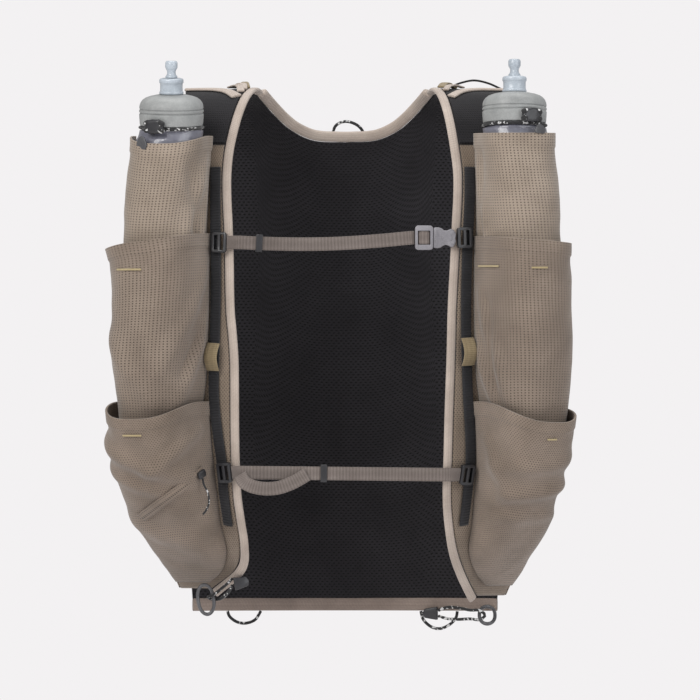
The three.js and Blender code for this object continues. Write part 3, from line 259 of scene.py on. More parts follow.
def ribbedBand(name, light, dark, groove, along, across, slant, roughness=0.8, sheen=0.2, depth=0.0003):
    material, tree, shader = newMaterial(name, roughness, sheen, 0.3)
    coords = tree.nodes.new("ShaderNodeTexCoord")
    tone = place(tree, toneTree, Vector=coords.outputs["Object"], Light=linear(light), Dark=linear(dark),
                 Patch=45)
    ribs = place(tree, ribTree, Vector=coords.outputs["UV"], Along=along, Across=across, Slant=slant)
    both = mathNode(tree, "ADD", mathNode(tree, "MULTIPLY", ribs.outputs[0], 0.65),
                    mathNode(tree, "MULTIPLY", ribs.outputs[1], 0.35))
    # the grooves between the ribs get painted shade: the groove colour mixed in
    tree.links.new(mixColour(tree, both, mixColour(tree, 0.5, tone.outputs[0], linear(groove)),
                             tone.outputs[0]), shader.inputs["Base Color"])
    bump(tree, shader, both, 0.6, depth)
    return material


def plastic(name, light, dark, roughness, coat=0.0):
    material, tree, shader = newMaterial(name, roughness)
    shader.inputs["Coat Weight"].default_value = coat
    coords = tree.nodes.new("ShaderNodeTexCoord")
    tone = place(tree, toneTree, Vector=coords.outputs["Object"], Light=linear(light), Dark=linear(dark),
                 Patch=80, Thread=900)
    tree.links.new(tone.outputs[0], shader.inputs["Base Color"])
    bump(tree, shader, tone.outputs["Grain"], 0.35, 0.00008)
    return material


# lit and shaded thread colours, the hole colour as painted shade inside the holes, hole pitch across and up
# in metres, hole size and row shift
stretchMesh = meshCloth("stretchMesh", (162, 148, 134), (130, 117, 104), (76, 66, 57), (0.0026, 0.0022),
                        0.52, 0.0)
# the chest pockets' mesh is the flask pockets' stretch mesh painted darker: painted shade on the chest
# pockets
shadedChestMesh = meshCloth("shadedChestMesh", (143, 129, 116), (114, 101, 90), (64, 55, 47), (0.0026, 0.0022), 0.52,
                      0.0)
lowerMesh = meshCloth("lowerMesh", (145, 130, 117), (111, 98, 86), (62, 53, 46), (0.0021, 0.0018), 0.55,
                      0.5)
panelMesh = meshCloth("panelMesh", (146, 131, 116), (110, 97, 84), (70, 60, 52), (0.0021, 0.0018), 0.58,
                      0.5)
spacerMesh = meshCloth("spacerMesh", (42, 40, 44), (27, 25, 29), (3, 3, 4), (0.0039, 0.0024), 0.7, 0.5,
                       roughness=0.8, sheen=0.08, depth=0.0009)
shoulderMesh = meshCloth("shoulderMesh", (38, 36, 39), (24, 23, 26), (6, 6, 7), (0.0024, 0.0018), 0.6, 0.5,
                         sheen=0.06)
# lit and shaded thread colours, the groove colour as painted shade in the grooves, ribs along and across in
# metres, and their slant
rolledKnit = ribbedBand("rolledKnit", (206, 193, 182), (172, 158, 147), (134, 121, 111), 0.0013, 0.0011,
                        0.5)
hemKnit = ribbedBand("hemKnit", (160, 145, 135), (128, 114, 106), (98, 86, 79), 0.0012, 0.0010, 0.5)
ribbedRail = ribbedBand("ribbedRail", (44, 44, 48), (24, 24, 27), (6, 6, 7), 0.0022, 0.0044, 0.0,
                        roughness=0.7, sheen=0.15, depth=0.0007)
strapWeave = ribbedBand("strapWeave", (130, 120, 115), (104, 95, 90), (66, 58, 54), 0.0021, 0.0030, 0.0,
                        roughness=0.75, sheen=0.15, depth=0.0005)
tanWeave = ribbedBand("tanWeave", (160, 144, 114), (132, 116, 88), (96, 84, 62), 0.0016, 0.0014, 0.0)
blackTape = ribbedBand("blackTape", (40, 39, 41), (24, 23, 25), (10, 10, 11), 0.0012, 0.0012, 0.0)
hookPlastic = plastic("hookPlastic", (46, 46, 50), (26, 26, 29), 0.42, coat=0.2)
bucklePlastic = plastic("bucklePlastic", (142, 140, 145), (108, 106, 111), 0.4, coat=0.15)
capPlastic = plastic("capPlastic", (160, 162, 161), (130, 132, 132), 0.5)
valveRubber = plastic("valveRubber", (190, 199, 208), (158, 167, 176), 0.35, coat=0.3)
greyRubber = plastic("greyRubber", (92, 92, 95), (60, 60, 63), 0.4, coat=0.3)
print("cloth and plastic materials are made")

bottleFilm, filmTree, filmShader = newMaterial("bottleFilm", 0.28)
filmCoords = filmTree.nodes.new("ShaderNodeTexCoord")
filmTone = place(filmTree, toneTree, Vector=filmCoords.outputs["Object"], Light=linear((170, 171, 184)),
                 Dark=linear((120, 120, 136)), Patch=22, Thread=300)
filmTree.links.new(filmTone.outputs[0], filmShader.inputs["Base Color"])
filmShader.inputs["Transmission Weight"].default_value = 0.45
filmShader.inputs["Coat Weight"].default_value = 0.5
bump(filmTree, filmShader, filmTone.outputs["Grain"], 0.25, 0.0006)

fleckedCord, fleckTree, fleckShader = newMaterial("fleckedCord", 0.75, 0.2)
fleckCoords = fleckTree.nodes.new("ShaderNodeTexCoord")
flecks = fleckTree.nodes.new("ShaderNodeTexVoronoi")
flecks.inputs["Scale"].default_value = 620
fleckTree.links.new(fleckCoords.outputs["Object"], flecks.inputs["Vector"])
light = mathNode(fleckTree, "GREATER_THAN", flecks.outputs["Color"], 0.74)
fleckTree.links.new(mixColour(fleckTree, light, linear((24, 24, 26)), linear((196, 196, 196))),
                    fleckShader.inputs["Base Color"])
bump(fleckTree, fleckShader, flecks.outputs["Distance"], 0.6, 0.0004)
floorMaterial, floorTree, floorShader = newMaterial("paleFloor", 0.95)
floorShader.inputs["Base Color"].default_value = lights["floor"] + (1,)


# shape helpers
# a grid whose points are moved to their places on a surface, given in mm
def shapedGrid(name, columns, rows, surface, material, size=None):
    deselectAll()
    bpy.ops.mesh.primitive_grid_add(x_subdivisions=columns, y_subdivisions=rows, size=1, calc_uvs=True)
    piece = bpy.context.object
    piece.name = name
    piece.data.name = name
    mesh = piece.data
    if size:
        for loop in mesh.uv_layers[0].data:
            loop.uv = (loop.uv[0] * size[0], loop.uv[1] * size[1])
    for point in mesh.vertices:
        point.co = surface(point.co.x + 0.5, point.co.y + 0.5) * mm
    mesh.materials.clear()
    mesh.materials.append(material)
    mesh.polygons.foreach_set("use_smooth", [True] * len(mesh.polygons))
    return piece


def applyModifier(piece, kind, **settings):
    deselectAll()
    piece.select_set(True)
    bpy.context.view_layer.objects.active = piece
    modifier = piece.modifiers.new(kind.lower(), kind)
    for label, value in settings.items():
        setattr(modifier, label, value)
    bpy.ops.object.modifier_apply(modifier=modifier.name)


# merges the seam of a tube, fills its ends and turns its faces outwards
def closeSeams(piece):
    shape = bmesh.new()
    shape.from_mesh(piece.data)
    bmesh.ops.remove_doubles(shape, verts=shape.verts, dist=2e-6)
    rims = [edge for edge in shape.edges if edge.is_boundary]
    if rims:
        bmesh.ops.holes_fill(shape, edges=rims, sides=0)
    bmesh.ops.recalc_face_normals(shape, faces=shape.faces)
    shape.to_mesh(piece.data)
    shape.free()
    piece.data.polygons.foreach_set("use_smooth", [True] * len(piece.data.polygons))


def clothPiece(name, columns, rows, surface, material, size, thickness, folds=None):
    piece = shapedGrid(name, columns, rows, surface, material, size)
    if folds:
        mesh = piece.data
        spots = [(loop.vertex_index, corner.uv) for loop, corner in zip(mesh.loops, mesh.uv_layers[0].data)]
        shares = {index: (uv[0] / size[0], uv[1] / size[1]) for index, uv in spots}
        normals = [point.normal.copy() for point in mesh.vertices]
        for point in mesh.vertices:
            u, v = shares[point.index]
            point.co += normals[point.index] * folds(u, v, point.co) * mm
    applyModifier(piece, "SOLIDIFY", thickness=thickness * mm, offset=0, use_even_offset=True)
    piece.data.polygons.foreach_set("use_smooth", [True] * len(piece.data.polygons))
    return piece


# a soft fold along a line, in shares of the piece
def ridge(u, v, start, end, width, height):
    du, dv = end[0] - start[0], end[1] - start[1]
    length = du * du + dv * dv
    t = ((u - start[0]) * du + (v - start[1]) * dv) / length
    if t < -0.3 or t > 1.3:
        return 0
    clamped = min(max(t, 0), 1)
    away = math.hypot(u - start[0] - clamped * du, v - start[1] - clamped * dv)
    return height * math.exp(-((away / width) ** 2)) * math.sin(math.pi * min(max((t + 0.3) / 1.6, 0), 1))


def ripple(co, scale, height):
    return height * noise.noise(co * scale)


def smoothStep(value, low, high):
    t = min(max((value - low) / (high - low), 0), 1)
    return t * t * (3 - 2 * t)


# a sine or cosine made squarer, the more so the less the power
def softened(value, power):
    return math.copysign(abs(value) ** power, value)


# the vest's own curves, as its solids have them
class Curve:
    def __init__(self, points):
        self.points = [Vector(p) for p in points]
        self.lengths = [0]
        last = self.at(0)
        for i in range(1, 201):
            here = self.at(i / 200)
            self.lengths.append(self.lengths[-1] + (here - last).length)
            last = here

    def at(self, t):
        points, last = self.points, len(self.points) - 1
        run = min(max(t, 0), 1) * last
        i = min(int(run), last - 1)
        share = run - i
        before = points[i - 1] if i > 0 else points[0] * 2 - points[1]
        after = points[i + 2] if i + 2 <= last else points[last] * 2 - points[last - 1]
        a, b, c, d = before, points[i], points[i + 1], after
        step = [max((q - p).length, 1e-9) ** 0.5 for p, q in ((a, b), (b, c), (c, d))]
        first = ((b - a) / step[0] - (c - a) / (step[0] + step[1]) + (c - b) / step[1]) * step[1]
        second = ((c - b) / step[1] - (d - b) / (step[1] + step[2]) + (d - c) / step[2]) * step[1]
        bend = b * -3 + c * 3 - first * 2 - second
        return b + first * share + bend * share ** 2 + (b * 2 - c * 2 + first + second) * share ** 3

    def atLength(self, share):
        aim = min(max(share, 0), 1) * self.lengths[-1]
        low, high = 0, 200
        while high - low > 1:
            middle = (low + high) // 2
            if self.lengths[middle] <= aim:
                low = middle
            else:
                high = middle
        span = self.lengths[high] - self.lengths[low]
        return self.at((low + (aim - self.lengths[low]) / span) / 200)

    def along(self, t):
        return (self.at(min(t + 1e-4, 1)) - self.at(max(t - 1e-4, 0))).normalized()


def read(table, column, at):
    last = len(table) - 1
    i = next((k for k, row in enumerate(table) if row[0] >= at), last + 1) - 1
    i = min(max(i, 0), last - 1)

    def slope(j):
        before, after = table[max(j - 1, 0)], table[min(j + 1, last)]
        return (after[column] - before[column]) / (after[0] - before[0])

    a, b = table[i], table[i + 1]
    span = b[0] - a[0]
    t = min(max((at - a[0]) / span, 0), 1)
    h = t * t * (3 - 2 * t)
    bend = t * (1 - t) * span * ((1 - t) * slope(i) - t * slope(i + 1))
    return a[column] * (1 - h) + b[column] * h + bend


vest = {
    "drop": 403, "halfWidth": 180, "chestDepth": 80, "backDepth": 100, "cloth": 1.6, "gap": 0.3,
    "neckHalf": 72, "shoulderSlope": 0.04, "frontLean": 0.2,
    "backProfile": [(0.78, -0.991), (0.82, -0.8), (0.95, -0.5), (1, -0.27), (0.93, -0.13), (0.73, -0.05),
                    (0.42, -0.012)],
    "chestProfile": [(0, -0.004), (0.48, -0.02), (0.8, -0.06), (0.97, -0.11)],
    "backShape": [(0, 0.66, 0.27), (0.25, 0.7, 0.25), (0.45, 0.69, 0.2), (0.62, 0.66, 0.12),
                  (0.74, 0.67, 0.04), (0.82, 0.69, 0), (1, 0.7, 0)],
    "neckline": [(0, -0.104), (0.35, -0.1), (0.6, -0.08), (0.8, -0.048), (0.93, -0.02), (1, -0.006)],
    "yoke": [(0, 0.4, 0.69), (0.35, 0.425, 0.69), (0.7, 0.46, 0.7), (1, 0.495, 0.8)],
}
drop, halfWidth, neckHalf = vest["drop"], vest["halfWidth"], vest["neckHalf"]
chestDepth, backDepth, cloth, gap = vest["chestDepth"], vest["backDepth"], vest["cloth"], vest["gap"]
# drop, inner, outer, innerDepth, outerDepth, rail
frontPanel = {
    "left": [
        (0.1128, 0.52, 0.895, 0.915, 0.75, 0.552), (0.178, 0.533, 0.895, 0.97, 0.76, 0.555),
        (0.284, 0.524, 0.91, 1.05, 0.74, 0.552), (0.33, 0.521, 0.965, 1.07, 0.72, 0.551),
        (0.428, 0.516, 0.95, 1.1, 0.69, 0.551), (0.513, 0.5, 0.93, 1.09, 0.64, 0.556),
        (0.62, 0.497, 0.985, 1.04, 0.54, 0.556), (0.7, 0.495, 0.965, 0.98, 0.44, 0.53),
        (0.8, 0.482, 0.915, 0.83, 0.22, 0.51), (0.884, 0.455, 0.8, 0.56, -0.08, 0.48),
        (0.93, 0.475, 0.745, 0.22, -0.28, 0.48), (0.968, 0.575, 0.71, -0.15, -0.48, 0.6)],
    "right": [
        (0.1128, 0.495, 0.88, 0.915, 0.75, 0.527), (0.178, 0.51, 0.88, 0.97, 0.76, 0.535),
        (0.284, 0.5, 0.89, 1.05, 0.74, 0.525), (0.33, 0.495, 0.9, 1.07, 0.72, 0.52),
        (0.428, 0.483, 0.895, 1.1, 0.69, 0.515), (0.513, 0.478, 0.89, 1.09, 0.64, 0.517),
        (0.62, 0.47, 0.93, 1.04, 0.54, 0.525), (0.7, 0.465, 0.915, 0.98, 0.44, 0.535),
        (0.8, 0.46, 0.85, 0.83, 0.22, 0.515), (0.884, 0.482, 0.785, 0.56, -0.08, 0.49),
        (0.935, 0.52, 0.735, 0.22, -0.28, 0.49), (0.982, 0.57, 0.69, -0.15, -0.48, 0.6)],
}
# drop, inner, outer, lift
pockets = {
    "flask": {
        "left": [(0.095, 0.575, 0.898, 0.66), (0.25, 0.594, 0.898, 0.66), (0.45, 0.602, 0.9, 0.66),
                 (0.58, 0.612, 0.9, 0.64), (0.64, 0.65, 0.87, 0.5)],
        "right": [(0.09, 0.56, 0.88, 0.66), (0.25, 0.566, 0.878, 0.66), (0.45, 0.577, 0.875, 0.66),
                  (0.58, 0.586, 0.875, 0.64), (0.64, 0.615, 0.85, 0.5)]},
    "chest": {
        "left": [(0.283, 0.583, 0.985, 0.8), (0.36, 0.583, 0.945, 0.76), (0.45, 0.585, 0.925, 0.74),
                 (0.56, 0.597, 0.92, 0.72), (0.65, 0.625, 0.9, 0.64)],
        "right": [(0.288, 0.558, 0.9, 0.82), (0.36, 0.556, 0.9, 0.78), (0.45, 0.556, 0.895, 0.76),
                  (0.56, 0.566, 0.893, 0.72), (0.65, 0.595, 0.875, 0.64)]},
    "lower": {
        "left": [(0.606, 0.585, 0.94, 0.84), (0.69, 0.573, 0.925, 0.78), (0.77, 0.555, 0.892, 0.61),
                 (0.84, 0.535, 0.84, 0.44), (0.9, 0.505, 0.768, 0.28), (0.935, 0.525, 0.73, 0.17),
                 (0.955, 0.57, 0.705, 0.09)],
        "right": [(0.606, 0.553, 0.9, 0.84), (0.69, 0.562, 0.877, 0.78), (0.77, 0.558, 0.832, 0.61),
                  (0.84, 0.545, 0.81, 0.44), (0.9, 0.53, 0.755, 0.28), (0.94, 0.56, 0.72, 0.17),
                  (0.962, 0.6, 0.695, 0.09)]},
}
pocketSquareness = 0.72
# each mouth's sag in the middle and tilt outwards, in shares of the vest's drop
mouths = {
    "flask": {"left": (0.016, 0), "right": (0, 0)},
    "chest": {"left": (0, 0.034), "right": (0, 0.017)},
    "lower": {"left": (0.034, 0), "right": (0.034, 0.012)},
}
profileCurve = Curve(
    [(0, d * backDepth, h * drop) for d, h in vest["backProfile"]]
    + [(0, -d * chestDepth, h * drop) for d, h in vest["chestProfile"]])
seam = 1.0
while profileCurve.atLength(seam).y < 0.35 * backDepth:
    seam -= 0.002


def shareAtHeight(height):
    low, high = 0, seam
    for i in range(24):
        middle = (low + high) / 2
        if profileCurve.atLength(middle).z < height:
            low = middle
        else:
            high = middle
    return low


def shoulderSheet(x, share):
    p = profileCurve.atLength(share)
    run = min(share / seam, 1)
    half = read(vest["backShape"], 1, run) * halfWidth
    wrap = read(vest["backShape"], 2, run) * backDepth
    past = max(abs(x) - neckHalf, 0)
    rising = smoothStep(share, 0.6 * seam, seam)
    chest = smoothStep(share, seam, 1)
    y = p.y - wrap * (x / half) ** 2 + chest * vest["frontLean"] * past
    return Vector((x, y, p.z - vest["shoulderSlope"] * past * rising * (1 - chest)))


topCache = {}


def backPoint(across, up):
    seamHalf = read(vest["backShape"], 1, 1) * halfWidth
    reach = abs(across) * seamHalf / neckHalf
    seamShare = seam - gap / 2 / profileCurve.lengths[-1]
    key = round(reach, 5)
    if key not in topCache:
        height = read(vest["neckline"], 1, min(reach, 1)) * drop
        topCache[key] = min(shareAtHeight(height), seamShare) if reach < 1 else seamShare
    share = up * topCache[key]
    half = read(vest["backShape"], 1, share / seam) * halfWidth
    return shoulderSheet(across * half, share)


def yokePoint(side, across, along):
    meet = frontPanel[side][0][1] - vest["yoke"][-1][1]
    inner = (read(vest["yoke"], 1, along) + meet * along ** 2) * halfWidth
    outer = read(vest["yoke"], 2, along) * halfWidth
    start = seam + gap / 2 / profileCurve.lengths[-1]
    return shoulderSheet(sides[side] * (inner + (outer - inner) * across), start + (1 - start) * along)


def frontRow(side, fall):
    table = frontPanel[side]
    inner = Vector((sides[side] * read(table, 1, fall) * halfWidth, -read(table, 3, fall) * chestDepth,
                    -fall * drop))
    outer = Vector((sides[side] * read(table, 2, fall) * halfWidth, -read(table, 4, fall) * chestDepth,
                    -fall * drop))
    across = (outer - inner).normalized()
    return inner, outer, across, Vector((across.y, -across.x, 0)) * sides[side]


def steepness(side, fall):
    down = frontRow(side, fall + 0.01)[0] - frontRow(side, fall - 0.01)[0]
    return down.length / abs(down.z)


def frontAt(side, x, fall, off=0):
    inner, outer, across, normal = frontRow(side, fall)
    return inner.lerp(outer, (sides[side] * x - inner.x) / (outer.x - inner.x)) + normal * off


def railPlace(side, fall, off):
    x = read(frontPanel[side], 5, fall) * halfWidth
    return frontAt(side, x, fall, (cloth / 2 + 0.9 + off) * steepness(side, fall))


def railFace(side, fall, off):
    across = frontRow(side, fall)[2] * sides[side]
    up = (railPlace(side, fall - 0.01, 0) - railPlace(side, fall + 0.01, 0)).normalized()
    normal = across.cross(up).normalized()
    return railPlace(side, fall, 1.2) + normal * (1.2 + off), normal, across


def panelDrop(side, along):
    table = frontPanel[side]
    return table[0][0] + (table[-1][0] - table[0][0]) * along


def pocketPoint(side, kind, turn, fall, grow=0):
    table = pockets[kind][side]
    across, normal = frontRow(side, fall)[2:]
    inner = frontAt(side, read(table, 1, fall) * halfWidth, fall)
    outer = frontAt(side, read(table, 2, fall) * halfWidth, fall)
    seat = (cloth / 2 + 3 * gap) * steepness(side, fall)
    lift = read(table, 3, fall) * chestDepth + grow
    half = (inner - outer).length / 2 + grow
    c = softened(math.cos(turn * math.pi), pocketSquareness)
    s = softened(math.sin(turn * math.pi), pocketSquareness)
    return (inner + outer) / 2 + across * (-half * c) + normal * (seat + lift * s)


def mouthFall(kind, side, turn, along):
    sag, tilt = mouths[kind][side]
    return (tilt * (1 - math.cos(turn * math.pi)) / 2
            + sag * math.sin(turn * math.pi) ** 2) * (1 - along) ** 2


# turns that are the same way apart round a pocket, so its columns are even
def evenTurns(side, kind):
    middle = (pockets[kind][side][0][0] + pockets[kind][side][-1][0]) / 2
    ring = [pocketPoint(side, kind, i / 600, middle) for i in range(601)]
    run = [0]
    for a, b in zip(ring, ring[1:]):
        run.append(run[-1] + (b - a).length)

    def turn(u):
        i = min(max(bisect.bisect(run, u * run[-1]) - 1, 0), 599)
        return (i + (u * run[-1] - run[i]) / (run[i + 1] - run[i])) / 600

    return turn


# a place so far off a pocket's outside, with the pocket's normal there
def pocketPlace(side, kind, x, fall, off):
    low, high = 0.03, 0.97
    for i in range(24):
        middle = (low + high) / 2
        if sides[side] * pocketPoint(side, kind, middle, fall).x < x:
            low = middle
        else:
            high = middle
    across = pocketPoint(side, kind, low + 0.02, fall) - pocketPoint(side, kind, low - 0.02, fall)
    down = pocketPoint(side, kind, low, fall + 0.02) - pocketPoint(side, kind, low, fall - 0.02)
    normal = (down.cross(across) * sides[side]).normalized()
    return pocketPoint(side, kind, low, fall) + normal * (cloth / 2 + gap + off), normal


# a band swept along a route of places and facings; less power gives squarer edges
def band(name, route, width, thickness, material, steps=140, corners=16, power=1.0):
    path, facings = zip(*route)
    curve = Curve(path)
    length = curve.lengths[-1]
    last = len(path) - 1

    def surface(u, v):
        centre, forward = curve.at(v), curve.along(v)
        run = v * last
        before = min(int(run), last - 1)
        facing = facings[before].lerp(facings[before + 1], run - before)
        across = facing.cross(forward).normalized()
        up = forward.cross(across).normalized()
        turn = u * 2 * math.pi
        a = softened(math.cos(turn), power) * width / 2
        b = softened(math.sin(turn), power) * thickness / 2
        return centre + across * a + up * b

    piece = shapedGrid(name, corners, steps, surface, material, (2 * width * mm, length * mm))
    for loop in piece.data.uv_layers[0].data:  # along the band first, so ribs cross it
        loop.uv = (loop.uv[1], loop.uv[0])
    closeSeams(piece)
    return piece


# gives a piece its body, and hides the nodes it stands for
def keep(piece, slotName, *nodes, body="vest"):
    if nodes:
        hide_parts(*nodes)
    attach(piece, body)
    return piece


print("shape helpers are ready")

# cords, with the routes of their solids
cordSettings = {
    "hang_loop": (2.4, [(-9.4, 90.9, -38), (-9.3, 91.1, -33), (-7, 91.3, -28), (0, 91.5, -25),
                        (8.6, 91.3, -27.3), (13.5, 91.1, -32), (14.8, 90.9, -38)]),
    "hem_loop_left": (2.4, [(-92, 61.7, -409.1), (-90.5, 62.5, -413), (-85, 64, -417.3), (-78, 66, -418.5),
                            (-70.5, 68, -415.8), (-66, 69.6, -409.1)]),
    "hem_loop_right": (2.4, [(59.5, 71.1, -409.1), (61, 70.5, -415), (67, 69, -421), (74, 67, -422.8),
                             (82, 65, -419.5), (87, 63.3, -414), (88, 63.1, -409.1)]),
    "cinch_cord_left": (2.4, [(-88.2, -18.8, -382.8), (-90.6, -15, -385.4), (-94.5, -9.8, -388.8),
                              (-98.8, -6.9, -392.5), (-103.2, -6.2, -395.6), (-106.8, -2.5, -397.2),
                              (-103.4, 1.2, -398.8), (-97.8, -1.8, -398.6), (-92.6, -8.2, -395),
                              (-89.5, -13.4, -391), (-88.1, -17.2, -388)]),
    "cinch_cord_right": (2.4, [(73.2, 61.2, -408.4), (80, 58.6, -406), (90, 53, -406.5), (98, 45.5, -408),
                               (105.4, 37.2, -408.2), (109.6, 40, -411.8), (105.4, 42.8, -415.4),
                               (98, 46.5, -414.8), (88, 53.5, -415.3), (79, 59, -414.6),
                               (73.2, 61.2, -412.8)]),
    "zip_pull": (1.6, [(-110.25, -89.55, -303.95), (-109.6, -89.6, -308), (-106, -87.5, -316),
                       (-105.6, -85.8, -323), (-107.6, -85.3, -328.6), (-110.2, -85.1, -331.9)]),
}


def makeCord(name, diameter, route):
    curve = Curve(route)
    points = [curve.atLength(i / 30) * mm for i in range(31)]
    deselectAll()
    bpy.ops.curve.primitive_nurbs_path_add()
    piece = bpy.context.object
    piece.name = name + "_cord"
    data = piece.data
    data.splines.clear()
    spline = data.splines.new("POLY")
    spline.points.add(len(points) - 1)
    for target, point in zip(spline.points, points):
        target.co = (*point, 1)
    spline.use_smooth = True
    data.dimensions = "3D"
    data.bevel_depth = diameter / 2 * mm
    data.bevel_resolution = 3
    data.use_fill_caps = True
    data.materials.append(fleckedCord)
    keep(piece, "cord", name)
    return piece


for name, (diameter, route) in cordSettings.items():
    makeCord(name, diameter, route)
print("cords are laid")

# the black back panel inside the vest
backSettings = {"columns": 130, "rows": 190, "size": (0.252, 0.42),
                "creases": [((0.34, 0.34), (0.44, 0.62), 0.05, 0.7), ((0.66, 0.3), (0.6, 0.66), 0.05, 0.6),
                            ((0.5, 0.1), (0.5, 0.3), 0.08, 0.6)]}
backPanel = clothPiece(
    "backPanel", backSettings["columns"], backSettings["rows"], lambda u, v: backPoint(2 * u - 1, v),
    spacerMesh, backSettings["size"], 2.6,
    lambda u, v, co: ripple(co, 22, 0.5) + sum(ridge(u, v, *crease) for crease in backSettings["creases"]))
keep(backPanel, "back_mesh", "back_panel")
print("back panel is made")

# front panels, yokes and sides
panelSettings = {"columns": 50, "rows": 170, "size": (0.075, 0.40)}
for side in sides:
    def panelSurface(u, v, side=side):
        inner, outer, across, normal = frontRow(side, panelDrop(side, v))
        return inner.lerp(outer, u)

    piece = clothPiece("frontPanel_" + side, panelSettings["columns"], panelSettings["rows"], panelSurface,
                       panelMesh, panelSettings["size"], 1.6,
                       lambda u, v, co: ripple(co, 60, 0.25) * math.sin(math.pi * v))
    keep(piece, "stretch_mesh_dark", "front_panel_" + side)

    piece = clothPiece("shoulderYoke_" + side, 60, 90, lambda u, v, side=side: yokePoint(side, u, v),
                       shoulderMesh, (0.06, 0.1), 2.6,
                       lambda u, v, co: ripple(co, 45, 0.4) * math.sin(math.pi * v))
    keep(piece, "back_mesh", "shoulder_yoke_" + side)

    bottomDrop = frontPanel[side][-1][0]

    def sideSurface(u, v, side=side, bottomDrop=bottomDrop):
        fall = 0.64 + (bottomDrop - 0.64) * v
        inner, outer, across, normal = frontRow(side, fall)
        front = outer + across * cloth
        up = 0.5
        for i in range(1, 20):
            up += (1 if backPoint(1, up).z < -fall * drop else -1) * 0.5 ** (i + 1)
        back = backPoint(sides[side], up)
        back.x += sides[side] * (cloth / 2 + gap)
        swell = math.sin(u * math.pi) * 0.12 * (front - back).length
        return front.lerp(back, u) + Vector((sides[side] * swell, 0, 0))

    piece = clothPiece("sidePanel_" + side, 48, 56, sideSurface, panelMesh, (0.11, 0.14), 1.6,
                       lambda u, v, co: (1.6 * math.sin(u * 21 + 2 * v) * math.sin(math.pi * u)
                                         + ripple(co, 40, 0.6)) * math.sin(math.pi * v))
    keep(piece, "stretch_mesh_dark", "side_panel_" + side)
print("front panels, yokes and sides are made")

# pockets: each a sewn sheet with a turned hem at its mouth
pocketSettings = {
    "flask": {"material": stretchMesh, "hem": 0.055, "size": (0.13, 0.23), "slot": "stretch_mesh",
              "rows": 150},
    "chest": {"material": shadedChestMesh, "hem": 0.075, "size": (0.14, 0.155), "slot": "stretch_mesh",
              "rows": 120},
    "lower": {"material": lowerMesh, "hem": 0.08, "size": (0.14, 0.16), "slot": "stretch_mesh_dark",
              "rows": 120},
}
# folds on each pocket: start, end in shares across and down, width, height in mm
pocketFolds = {
    ("flask", "left"): [((0.1, 0.05), (0.32, 0.4), 0.05, 1.4), ((0.02, 0.2), (0.25, 0.6), 0.05, 1.2),
                        ((0.3, 0.1), (0.1, 0.45), 0.04, -1.2)],
    ("flask", "right"): [((0.05, 0.1), (0.2, 0.45), 0.05, 1.2), ((0.15, 0.05), (0.05, 0.5), 0.04, -0.9)],
    ("chest", "left"): [((0.05, 0.15), (0.4, 0.75), 0.05, 1.3), ((0.02, 0.4), (0.3, 0.95), 0.05, 1.5),
                        ((0.7, 0.5), (0.4, 0.9), 0.06, 1.2), ((0.1, 0.5), (0.25, 0.75), 0.03, -1.2)],
    ("chest", "right"): [((0.08, 0.3), (0.3, 0.9), 0.05, 1.4), ((0.02, 0.5), (0.2, 0.95), 0.04, 1.4),
                         ((0.15, 0.35), (0.2, 0.8), 0.03, -1.2)],
    ("lower", "left"): [((0.95, 0.12), (0.2, 0.42), 0.05, 1.8), ((0.9, 0.3), (0.35, 0.5), 0.04, 1.3),
                        ((0.1, 0.15), (0.45, 0.35), 0.04, 1.4), ((0.8, 0.62), (0.3, 0.8), 0.06, 1.2)],
    ("lower", "right"): [((0.25, 0.5), (0.85, 0.4), 0.04, 1.6), ((0.15, 0.35), (0.8, 0.25), 0.05, 1.2),
                         ((0.2, 0.62), (0.7, 0.6), 0.04, 1.0), ((0.1, 0.2), (0.3, 0.5), 0.04, 1.2)],
}
for (kind, side), folds in pocketFolds.items():
    settings = pocketSettings[kind]
    table = pockets[kind][side]

    def pocketSurface(u, v, kind=kind, side=side, table=table, turns=evenTurns(side, kind)):
        turn = turns(u)
        fall = table[0][0] + (table[-1][0] - table[0][0]) * v
        return pocketPoint(side, kind, turn, fall + mouthFall(kind, side, turn, v))

    def pocketFold(u, v, co, folds=folds, hem=settings["hem"], side=side):
        held = smoothStep(u, 0, 0.08) * smoothStep(u, 1, 0.92) * smoothStep(v, 1, 0.9)
        turned = 0.8 * smoothStep(v, hem, hem - 0.01)
        mouthWave = 0.8 * math.sin(u * 17 + 3) * smoothStep(v, 0.12, 0)
        out = 2.6 * sum(ridge(u, v, *fold) for fold in folds) + ripple(co, 26, 1.6) + ripple(co, 70, 0.6)
        return -sides[side] * (turned + held * (out * smoothStep(v, hem * 0.5, hem * 1.8) + mouthWave))

    piece = clothPiece(f"{kind}Pocket_{side}", 110, settings["rows"], pocketSurface, settings["material"],
                       settings["size"], 1.6, pocketFold)
    keep(piece, settings["slot"], f"{kind}_pocket_{side}")
print("pockets are sewn")

# bindings and rails: widths and thicknesses in mm, a rail's ends in shares of the drop
bindingSettings = {"front": (7, 3.6), "neck": (8.5, 5), "hem": (10.2, 4), "rail": (8.5, 2.4),
                   "railEnds": (0.155, 0.845)}


# an edge, the way out of the cloth there, and the cloth's normal
def edgeFrame(edge, inside, forward):
    out = edge - inside
    out = (out - forward * out.dot(forward)).normalized()
    return edge, out, forward.cross(out)


def openingEdge(side, along):
    def at(p, across):
        if p < 0.2:
            return yokePoint(side, across, p / 0.2)
        inner, outer = frontRow(side, panelDrop(side, (p - 0.2) / 0.8))[:2]
        return inner.lerp(outer, across)

    forward = (at(min(along + 0.004, 1), 0) - at(max(along - 0.004, 0), 0)).normalized()
    edge, out, normal = edgeFrame(at(along, 0), at(along, 0.05), forward)
    return edge, out, normal * sides[side]


